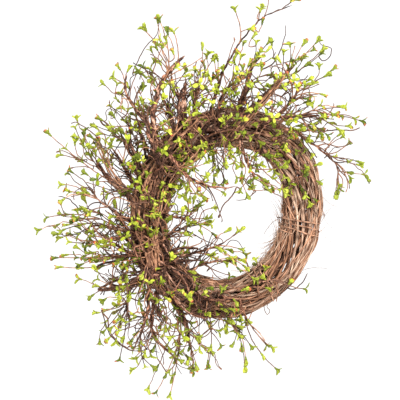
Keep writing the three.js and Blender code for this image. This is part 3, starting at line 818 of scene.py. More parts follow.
def splinePoint(route, t):
    last = len(route) - 1
    i = min(math.floor(last * t), last)
    share = last * t - i
    p0, p1, p2, p3 = (np.array(route[limited(k, 0, last)], float) for k in (i - 1, i, i + 1, i + 2))
    v0, v1 = (p2 - p0) * 0.5, (p3 - p1) * 0.5
    return (2 * p1 - 2 * p2 + v0 + v1) * share**3 + (-3 * p1 + 3 * p2 - 2 * v0 - v1) * share**2 + v0 * share + p1


class Line:  # a curve measured along its length, as in the part's source
    def __init__(self, pointAt):
        self.pointAt = pointAt
        self.shares = np.linspace(0, 1, 201)
        self.places = np.array([pointAt(t) for t in self.shares])
        self.lengths = np.concatenate([[0], np.cumsum(np.linalg.norm(np.diff(self.places, axis=0), axis=1))])
        self.length = self.lengths[-1]

    def at(self, distance):
        return self.pointAt(float(np.interp(distance, self.lengths, self.shares)))


def unit(v):
    return v / np.linalg.norm(v)


def tangentAt(points, i):
    return unit(points[min(i + 1, len(points) - 1)] - points[max(i - 1, 0)])


def sectionCorners(points, radii, sides):
    normal = np.array([0.31, -0.87, 0.38])
    rows = []
    for i, p in enumerate(points):
        tangent = tangentAt(points, i)
        normal = unit(normal - tangent * normal.dot(tangent))
        side = np.cross(tangent, normal)
        turns = [2 * math.pi * j / sides for j in range(sides)]
        rows.append([p + normal * radii[i] * math.cos(turn) + side * radii[i] * math.sin(turn) for turn in turns])
    return rows


def direction(heading, lift):
    return np.array([math.cos(heading) * math.cos(lift), -math.sin(lift), math.sin(heading) * math.cos(lift)])


def nodeVertices(name):  # in millimetres from the middle of the ring
    found = np.array([v.co for v in frame["nodes"][name].data.vertices], float) / mm
    found[:, 2] += insideTop / mm
    return found


def treeOf(points):
    tree = kdtree.KDTree(len(points))
    for i, point in enumerate(points):
        tree.insert(point, i)
    tree.balance()
    return tree


def arc(start, middle, end):
    return Line(lambda t: (1 - t) ** 2 * start + 2 * (1 - t) * t * middle + t * t * end)


def drift(place, seed, layer=0):  # a smooth wander in all three directions
    return np.array([noise.noise(Vector((place, seed, k + layer))) for k in range(3)])


def laidStem(lift, route, found):
    flat = Line(lambda t: splinePoint(route, t))
    points = []
    for i in range(spray["stemSegments"] + 1):
        gone = flat.length * i / spray["stemSegments"]
        x, z = flat.at(gone)
        points.append(np.array([x, -gone * math.tan(lift * degree) * (1 - 0.35 * i / spray["stemSegments"]), z]))
    radii = [between(spray["stemRootRadius"], spray["stemTipRadius"], i / spray["stemSegments"])
             for i in range(len(points))]
    root = sectionCorners(points, radii, spray["stemSides"])[0][0]
    gaps = np.hypot(found[:, 0] - root[0], found[:, 2] - root[2])
    shift = found[gaps.argmin(), 1] - root[1]
    return {"points": [p + np.array([0, shift, 0]) for p in points], "length": flat.length,
            "miss": gaps.min()}


def stemAt(stem, share):
    place = share * spray["stemSegments"]
    i = min(math.floor(place), spray["stemSegments"] - 1)
    start, end = stem["points"][i], stem["points"][i + 1]
    return between(start, end, place - i), math.atan2(end[2] - start[2], end[0] - start[0])


def shareFor(stem, tip):
    gaps = [math.hypot(p[0] - tip[0], p[2] - tip[1]) for p in stem["points"]]
    nearest = gaps.index(min(gaps))
    return limited(nearest / spray["stemSegments"] - 0.5 * gaps[nearest] / stem["length"], 0.25, 0.96)


def drawnTwig(extra, reach, tips, stem, number, draw, shrink):
    named = tips[number] if number < len(tips) else None
    early, spread, lift = 0.12 * draw(), draw(), -0.45 + 1.25 * draw()
    long = reach * (0.75 + 0.5 * draw()) * shrink
    bow = draw() - 0.5
    leave = (shareFor(stem, named) if named else 0.25 + 0.85 * (number - len(tips)) / extra) - early
    turn = (1 + 0.5 * spread - 0.7 * leave) * (1 if number % 2 else -1)
    start, heading = stemAt(stem, leave)
    if named:
        end = np.array([named[0], start[1], named[1]], float)
        end = between(end, start, spray["leafReach"] / np.linalg.norm(end - start))
    else:
        end = start + direction(heading + turn, 0) * long
    chord = np.linalg.norm(end - start)
    end[1] -= chord * math.sin(lift * (0.6 if named else 1))
    return arc(start, start + direction(heading + bow, lift) * 0.45 * chord, end)


def twigStops(length):
    whorls = max(1, math.floor((length - 8) / spray["whorlSpacing"]))
    stops = [(0, 0)]
    for i in range(1, whorls + 1):
        at = length - (whorls - i) * spray["whorlSpacing"]
        if i == 1:
            stops.append(((at - spray["leafyStep"]) / 2, 0))
        stops.append((at - spray["leafyStep"], 3 if i == whorls else 2))
        stops.append((at, 0))
    return stops


def foundTwig(row, stem, number, owner, tree):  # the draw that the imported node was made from
    for attempt in range(spray["twigTries"]):
        draw = seededDraws(owner * 7919 + number * 977 + attempt * 131)
        line = drawnTwig(row["extra"], row["reach"], row["tips"], stem, number, draw,
                         0.7 if attempt > spray["twigTries"] / 2 else 1)
        stops = twigStops(line.length)
        points = [line.at(at) for at, _ in stops]
        radii = [between(spray["twigRootRadius"], spray["twigTipRadius"], at / line.length) for at, _ in stops]
        corners = sectionCorners(points, radii, 3)
        if all(tree.find(Vector(c))[2] < spray["cornerMiss"] for c in corners[-1]):
            return line, stops, corners
    return None


dressing = {
    "pointGap": 2.0,
    "twigPointGap": 4.0,
    "curlyStep": 3.4,
    "stemSides": 8,
    "twigSides": 5,
    "stemKnobs": 1.25,
    "firstSeed": 3000,
    "otherDraws": {"spray_top_1": 100, "spray_right_2": 100, "spray_low_right": 100},
    "thickPart": 20,
    "sparse": ("spray_bottom_2", "spray_bottom_3", "spray_bottom_4", "spray_low_right", "spray_right_3",
               "spray_top_1"),
    "stout": ("spray_top_4", "spray_top_right_1", "stub_top_left_1", "spray_top_left_1", "spray_upper_left_1",
              "spray_bottom_1", "spray_left_low_1", "stub_top_left_2"),
    "whip": ("spray_top_1", "spray_right_2", "spray_upper_left_2"),
    "bare": ("stub_top_left_1", "twig_hole_top"),
    "stemRadius": {"thick": (4.0, 2.8, 1.4), "thin": (3.5, 2.4, 1.2), "hole": (3.1, 2.0, 1.0),
                   "sparse": (1.9, 1.2, 0.8), "stout": (4.8, 4.2, 2.8), "whip": (3.4, 1.5, 0.7)},
    "stemSwell": 0.45,
    "stemWander": 1.8,
    "stemSmoothing": 20,
    "coreShare": 0.8,
    "coreTones": (0.05, 0.65),
    "coreDarker": 0.3,
    "woundPitch": (30, 60),
    "woundShare": 0.5,
    "woundReach": 0.66,
    "woundSwell": 0.6,
    "woundEnds": 0.4,
    "woundDarker": (-0.35, -0.1),
    "woundLighter": (0.2, 0.55),
    "headingShake": (0.45, 0.25, 0.45),
    "headingForward": (-0.35, 0.15),
    "axisStart": (1, 1.8, 1),
    "axisShake": 0.45,
    "curlShares": (0.4, 1.6),
    "escape": (0, -0.8, 0),
    "leafyTwigs": {"thick": (1, 3), "thin": (2, 3), "hole": (4, 5), "sparse": (1, 2)},
    "leafyLength": (16, 52),
    "leafyRadius": (0.85, 0.55),
    "leafyCurl": (0.04, 0.16),
    "leafyTones": (0.3, 1.0),
    "sideLength": (12, 30),
    "bareTwigs": {"thick": (11, 14), "thin": (9, 12), "hole": (6, 8), "sparse": (0, 2)},
    "bareLength": (24, 70),
    "bareRadius": (0.8, 1.35),
    "bareTipRadius": 0.5,
    "bareBudRadius": 0.8,
    "curlyShare": 0.42,
    "curly": (0.25, 0.5),
    "gentle": (0.03, 0.2),
    "mostTurn": 4.6,
    "companions": {"thick": (0, 2), "thin": (1, 2), "hole": (1, 3), "sparse": (0, 0)},
    "companionRadius": (0.95, 0.6),
    "companionStart": (0, 0.35),
    "companionReach": (0.7, 1.0),
    "companionAside": (13, 9, 13),
    "mostAside": 18,
    "companionBend": (9, 6, 9),
    "companionWander": 3.2,
    "companionEscape": (0, -2.0, 0),
    "backLimit": 18,
    "frontLimit": -106,
}
whorl = {
    "leafletLength": (8.0, 11.6),
    "shut": (0.1, 0.34),
    "opened": (0.5, 1.05),
    "openShare": 0.6,
    "flatten": 0.5,
    "tint": (0.5, 0.22),
    "leafletTint": 0.1,
    "blushShare": 0.3,
    "blushedLeaflets": 0.75,
    "uneven": 0.12,
    "unevenTurn": 0.15,
    "stalk": 0.6,
    "sleeveLength": 12,
    "sleeveBack": 2.8,
    "sleeveTint": 0.8,
    "wallReach": 13,
    "wallAt": 25,
}


def outsideRing(point):  # how far a place lies outside the ring's bundle: 1 is just past its surface
    out = math.hypot(point[0], point[2]) - ringRadiusAt(math.atan2(point[2], point[0])) / mm
    return math.hypot(out / (ring["width"] / mm / 2 + 2), point[1] / (ring["depth"] / mm / 2 + 2))


def kept(depth):  # between the wall and the foremost leaves
    return limited(depth, dressing["frontLimit"], dressing["backLimit"])


def gauss(draw, *sizes):
    return np.array([draw.gauss(0, size) for size in sizes])


def addWhorl(strands, place, tangent, count, draw, aims=None):
    tangent = unit(tangent * (1, whorl["flatten"], 1))
    side = unit(np.cross(tangent, gauss(draw, 1, 1, 1)))
    other = np.cross(tangent, side)
    tint = limited(draw.gauss(*whorl["tint"]), 0.02, 1.0)
    blush = draw.random() < whorl["blushShare"]
    opened = draw.uniform(*whorl["opened" if draw.random() < whorl["openShare"] else "shut"])
    strands.put(inPlace(place - tangent * whorl["sleeveBack"]), leafAim=Vector(tangent), leafFace=Vector(side),
                kind=sleeveKind, leafSize=whorl["sleeveLength"] * mm, leafTint=tint * whorl["sleeveTint"])
    for j in range(count):
        if aims:
            outward = unit(aims[j] - tangent * tangent.dot(aims[j]))
        else:
            turn = 2 * math.pi * (j + draw.uniform(-1, 1) * whorl["unevenTurn"]) / count
            outward = side * math.cos(turn) + other * math.sin(turn)
        spread = opened + draw.uniform(-1, 1) * whorl["uneven"]
        aim = tangent * math.cos(spread) + outward * math.sin(spread)
        face = tangent * math.sin(spread) - outward * math.cos(spread)
        if place[1] + aim[1] * whorl["wallReach"] > whorl["wallAt"]:
            aim, face = aim * (1, -1, 1), face * (1, -1, 1)
        towardsFront = np.array([0, -1, 0.2]) * draw.uniform(0, 0.5) * (1 if face[1] < 0 else -1)
        strands.put(inPlace(place + aim * whorl["stalk"]), kind=leafletKind,
                    leafAim=Vector(unit(aim + gauss(draw, *[whorl["uneven"]] * 3))),
                    leafFace=Vector(unit(face + towardsFront)),
                    leafSize=draw.uniform(*whorl["leafletLength"]) * mm,
                    leafTint=limited(tint + draw.gauss(0, whorl["leafletTint"]), 0, 1),
                    leafBlush=float(blush and draw.random() < whorl["blushedLeaflets"]) * draw.uniform(0.5, 1))


def addWhorls(strands, points, stops, draw):  # one at each of those points, given with the count of its leaflets
    for i, count in stops:
        addWhorl(strands, points[i], tangentAt(points, i), count, draw)
    return len(stops)


def wandered(start, heading, length, draw, curl):  # a path that curls as it grows, outside the ring
    points, here, step = [start], start, dressing["curlyStep"]
    axis = unit(gauss(draw, *dressing["axisStart"]))
    for _ in range(max(3, round(length / step))):
        axis = unit(axis + gauss(draw, *[dressing["axisShake"]] * 3))
        heading = unit(heading + np.cross(axis, heading) * curl * draw.uniform(*dressing["curlShares"]))
        ahead = here + heading * step
        if outsideRing(ahead) < 1.0 or ahead[1] > dressing["backLimit"]:
            heading = unit(heading + np.array(dressing["escape"]))
            ahead = here + heading * step
        ahead[1] = kept(ahead[1])
        here = ahead
        points.append(here)
    return points


def addLeafyTwig(strands, start, heading, length, draw, tone):
    points = wandered(start, heading, length, draw, draw.uniform(*dressing["leafyCurl"]))
    radii = [between(*dressing["leafyRadius"], i / len(points)) for i in range(len(points))]
    strands.twig(points, radii, tone, draw.uniform(0, 9))
    last = len(points) - 1
    addWhorl(strands, points[last], tangentAt(points, last), draw.choice((2, 3, 3)), draw)
    clusters = 1
    for i in range(last - draw.randint(8, 11), 2, -draw.randint(9, 12)):
        addWhorl(strands, points[i], tangentAt(points, i), draw.choice((2, 2, 3)), draw)
        clusters += 1
    return clusters


def addCompanion(strands, line, draw, tone):  # a leafy twig that grows beside another, to a tip near its own
    start, tip = line.at(line.length * draw.uniform(*dressing["companionStart"])), line.at(line.length)
    end = start + (tip - start) * draw.uniform(*dressing["companionReach"])
    end += np.clip(gauss(draw, *dressing["companionAside"]), -dressing["mostAside"], dressing["mostAside"])
    end[1] = kept(end[1])
    curve = arc(start, (start + end) / 2 + gauss(draw, *dressing["companionBend"]), end)
    steps = max(5, round(curve.length / dressing["twigPointGap"]))
    seed = draw.uniform(0, 99)
    points = [curve.at(curve.length * i / steps) + drift(i * 0.35, seed) * dressing["companionWander"] * min(1, i / 4)
              for i in range(steps + 1)]
    points = [p + np.array(dressing["companionEscape"]) if outsideRing(p) < 1.0 else p for p in points]
    strands.twig(points, [between(*dressing["companionRadius"], i / steps) for i in range(steps + 1)], tone, seed)
    stops = [(i, 3 if i == steps else 2) for i in range(steps, 2, -draw.randint(7, 9))]
    return addWhorls(strands, points, stops, draw)


def addBareTwig(strands, start, heading, length, draw):
    curl = draw.uniform(*dressing["curly" if draw.random() < dressing["curlyShare"] else "gentle"])
    curl = min(curl, dressing["mostTurn"] * dressing["curlyStep"] / length)
    points = wandered(start, heading, length, draw, curl)
    thick = draw.uniform(*dressing["bareRadius"])
    radii = [between(thick, dressing["bareTipRadius"], i / len(points)) for i in range(len(points))]
    radii[-1] = radii[-2] = dressing["bareBudRadius"]
    tone = draw.uniform(0.0, 0.35) if draw.random() < 0.7 else draw.uniform(0.5, 0.95)
    strands.twig(points, radii, tone, draw.uniform(0, 9))


def addStem(strands, path, radii, draw, seed, wound=3):  # a knobbly stem: a core with thinner strands wound round it
    tone = draw.uniform(*dressing["coreTones"])
    rows = sectionCorners(path, [1.0] * len(path), 4)
    strands.twig(path, [r * dressing["coreShare"] for r in radii], limited(tone - dressing["coreDarker"], 0, 1),
                 seed * 1.3, stemKind)
    for i in range(wound):
        turn, pitch = draw.uniform(0, 2 * math.pi), draw.uniform(*dressing["woundPitch"]) * draw.choice((-1, 1))
        first, last = draw.randint(0, 3), len(path) - 1 - draw.randint(2, 9)
        winding, thick = [], []
        for k in range(first, max(last, first + 3)):
            k = min(k, len(path) - 1)
            angle = turn + 2 * math.pi * k * dressing["pointGap"] / pitch
            normal, side = rows[k][0] - path[k], rows[k][1] - path[k]
            outward = normal * math.cos(angle) + side * math.sin(angle)
            winding.append(path[k] + outward * radii[k] * dressing["woundReach"])
            swell = 1 + dressing["woundSwell"] * noise.noise(Vector((k * 0.5, seed, i)))
            thick.append(radii[k] * dressing["woundShare"] * swell)
        thick[0] *= dressing["woundEnds"]
        thick[-1] *= dressing["woundEnds"]
        shift = draw.choice((draw.uniform(*dressing["woundDarker"]), draw.uniform(*dressing["woundLighter"])))
        strands.twig(winding, thick, limited(tone + shift, 0, 1), seed + i * 2.7, stemKind)


def stemRadii(count, stops, seed):  # at the root, halfway and at the tip
    radii = [np.interp(i / count, (0, 0.55, 1), stops)
             * (1 + dressing["stemSwell"] * noise.noise(Vector((i * 0.3, seed, 9)))) for i in range(count + 1)]
    for back, share in ((1, 0.22), (2, 0.5), (3, 0.75)):
        radii[-back] *= share
    return radii


def smoothStem(stem, seed):
    line = Line(lambda t: np.array([np.interp(t * spray["stemSegments"], range(len(stem["points"])),
                                              [p[k] for p in stem["points"]]) for k in range(3)]))
    count = round(line.length / dressing["pointGap"])
    path = np.array([line.at(line.length * i / count) for i in range(count + 1)])
    for _ in range(dressing["stemSmoothing"]):
        path[1:-1] = (path[:-2] + path[1:-1] * 2 + path[2:]) / 4
    return [p + drift(i * 0.16, seed) * dressing["stemWander"] * min(1, i / 8) for i, p in enumerate(path)]


def addTwigs(strands, path, leafy, bare, draw):  # leafy and bare twigs along a stem
    clusters = 0
    for kind in ["leafy"] * leafy + ["bare"] * bare:
        i = min(int(draw.uniform(0.08, 1.0 if kind == "leafy" else 0.82) * (len(path) - 1)), len(path) - 2)
        heading = tangentAt(path, i) + gauss(draw, *dressing["headingShake"])
        heading[1] += draw.uniform(*dressing["headingForward"])
        if kind == "leafy":
            clusters += addLeafyTwig(strands, path[i], unit(heading), draw.uniform(*dressing["leafyLength"]), draw,
                                     draw.uniform(*dressing["leafyTones"]))
        else:
            addBareTwig(strands, path[i], unit(heading), draw.uniform(*dressing["bareLength"]), draw)
    return clusters


def plantSpray(name, strands, slot, nodes=(), stemSides=dressing["stemSides"]):
    piece = grown(name, strands.mesh(name), sprayTree,
                  {"Stem sides": stemSides, "Twig sides": dressing["twigSides"],
                   "Stem knobs": dressing["stemKnobs"], "Stem bark": materials["stem bark"],
                   "Twig bark": materials["twig bark"], "Leaf": materials["leaf plastic"],
                   "Leaflet shape": leafletShape, "Sleeve shape": sleeveShape})
    seat(piece, slot, *nodes)


def dressTwig(strands, twig, size, seed, draw):  # the twig that the source has, its leaves, and the twigs beside it
    line, stops, corners = twig
    steps = max(4, round(line.length / dressing["twigPointGap"]))
    bent = [line.at(line.length * i / steps) + drift(i * 0.4, seed["bend"], 20) * 1.6 * math.sin(math.pi * i / steps)
            for i in range(steps + 1)]
    tone = draw.uniform(0.1, 0.9)
    radii = [between(spray["twigRootRadius"], spray["twigTipRadius"], i / steps) for i in range(steps + 1)]
    strands.twig(bent, radii, tone, seed["bark"])
    clusters = 0
    for k, (at, leaflets) in enumerate(stops):
        if not leaflets:
            continue
        aims = []
        for j in range(leaflets):
            a, b, c = corners[k][j], corners[k][(j + 1) % 3], corners[k + 1][j]
            across, forth = unit(b - a), unit(c - a)
            aims.append(unit(unit(np.cross(across, forth)) * 0.7 + forth * 0.71))
        ahead = unit(line.at(at + spray["leafyStep"]) - line.at(at))
        addWhorl(strands, line.at(at + spray["leafyStep"] / 2), ahead, leaflets, draw, aims)
        clusters += 1
    for _ in range(draw.randint(*dressing["companions"][size])):
        clusters += addCompanion(strands, line, draw, limited(tone + draw.gauss(0, 0.2), 0, 1))
    for _ in range(draw.choice((0, 0, 1, 1))):
        share = draw.uniform(0.2, 0.85)
        start = line.at(line.length * share)
        ahead = unit(line.at(line.length * min(1, share + 0.05)) - start)
        clusters += addLeafyTwig(strands, start, unit(ahead + gauss(draw, 0.6, 0.5, 0.6)),
                                 draw.uniform(*dressing["sideLength"]), draw, tone)
    return clusters


def makeSprays():
    clusters, missed = 0, []
    for order, (name, lift, extra, reach, route, tips) in enumerate(sprays):
        owner = spray["firstOwner"] + order
        found = nodeVertices(name)
        tree = treeOf(found)
        row = {"extra": extra, "reach": reach, "tips": tips}
        stem = laidStem(lift, route, found)
        draw = random.Random(dressing["firstSeed"] + owner + dressing["otherDraws"].get(name, 0))
        strands = Strands()
        path = smoothStem(stem, owner)
        size = "thick" if sum(p[0] for p in path) / len(path) < dressing["thickPart"] else "thin"
        size = "sparse" if name in dressing["sparse"] else "hole" if "hole" in name else size
        build = next((key for key in ("stout", "whip") if name in dressing[key]), size)
        addStem(strands, path, stemRadii(len(path) - 1, dressing["stemRadius"][build], owner), draw, owner,
                2 if size == "sparse" else 3)
        for number in range(len(tips) + extra):
            twig = foundTwig(row, stem, number, owner, tree)
            if twig:
                seed = {"bend": owner + number, "bark": owner + number * 0.37}
                clusters += dressTwig(strands, twig, size, seed, draw)
            else:
                missed.append(f"{name} {number}")
        leafy = draw.randint(*dressing["leafyTwigs"][size]) if reach else 0
        clusters += addTwigs(strands, path, leafy, draw.randint(*dressing["bareTwigs"][size]), draw)
        plantSpray("leafy_" + name, strands, "stem" if name in dressing["bare"] else "leaf", [name])
        if stem["miss"] > spray["mostMiss"]:
            missed.append(f"{name} stem {stem['miss']:.2f}")
    print("sprays made, about", clusters, "leaf clusters, not matched:", missed)


makeSprays()

coverings = {
    "pieces": 7,
    "spraysPerPiece": 10,
    "fromFocus": 4,
    "focus": (-103, -70),
    "focusSpread": 9,
    "focusRolls": (60, 125),
    "focusInset": -2 * mm,
    "angles": ((58, 275), (110, 200)),
    "rolls": (25, 150),
    "inset": -1.5 * mm,
    "length": (45, 115),
    "curl": 0.06,
    "radius": (3.1, 2.1, 1.0),
    "stemSides": 6,
    "wound": 2,
    "leafy": (0, 1),
    "bare": (2, 3),
    "firstSeed": 6100,
}


def coveringRoot(fromFocus, draw):  # where a covering spray starts on the ring's front, and which way it grows
    focus = np.array([coverings["focus"][0], 0, coverings["focus"][1]], float)
    if fromFocus:
        way = draw.uniform(0, 2 * math.pi)
        angle = math.atan2(focus[2], focus[0]) + draw.gauss(0, coverings["focusSpread"]) * degree
        root = ringPoint(angle, draw.uniform(*coverings["focusRolls"]) * degree, coverings["focusInset"])
        heading = np.array([math.cos(way), -0.35, math.sin(way)])
    else:
        angle = draw.uniform(*draw.choice(coverings["angles"])) * degree
        root = ringPoint(angle, draw.uniform(*coverings["rolls"]) * degree, coverings["inset"])
        heading = np.array([root.x / mm, 0, (root.z + insideTop) / mm]) - focus
        heading = unit(heading) + gauss(draw, 0.36, 0.1, 0.36) + np.array([0, -0.25, 0])
    return np.array([root.x, root.y, root.z + insideTop]) / mm, unit(heading)


def makeCoverings():  # short sprays that lie over the ring's front, where the photo's are thickest
    clusters = 0
    for i in range(coverings["pieces"]):
        draw = random.Random(coverings["firstSeed"] + i)
        strands = Strands()
        for j in range(coverings["spraysPerPiece"]):
            root, heading = coveringRoot(j < coverings["fromFocus"], draw)
            path = wandered(root, heading, draw.uniform(*coverings["length"]), draw, coverings["curl"])
            seed = 500 + i * 20 + j
            addStem(strands, path, stemRadii(len(path) - 1, coverings["radius"], seed), draw, seed, coverings["wound"])
            leafy = draw.randint(*coverings["leafy"])
            clusters += addTwigs(strands, path, leafy, draw.randint(*coverings["bare"]), draw)
        plantSpray(f"covering_sprays_{i + 1}", strands, "leaf", [], coverings["stemSides"])
    print("covering sprays made,", clusters, "leaf clusters")


makeCoverings()

loneTwigs = {
    "pointGap": 3.0,
    "budLength": 5.0,
    "budSwell": 2.3,
    "taperedEnds": ("plain", "pale", "bud"),
    "endTaper": 0.35,
    "tones": {"leaf": 0.6, "pale": 0.85, "loose": 0.8},
    "otherTones": (0.1, 0.275, 0.45),
    "wander": 1.0,
    "forwardWander": 3,
    "leafSteps": 9,
    "clusterRadii": (1.0, 0.6),
    "depthCounts": 0.3,
    "nearRoot": 2.5,
    "depthKept": 0.6,
    "seed": 4400,
}

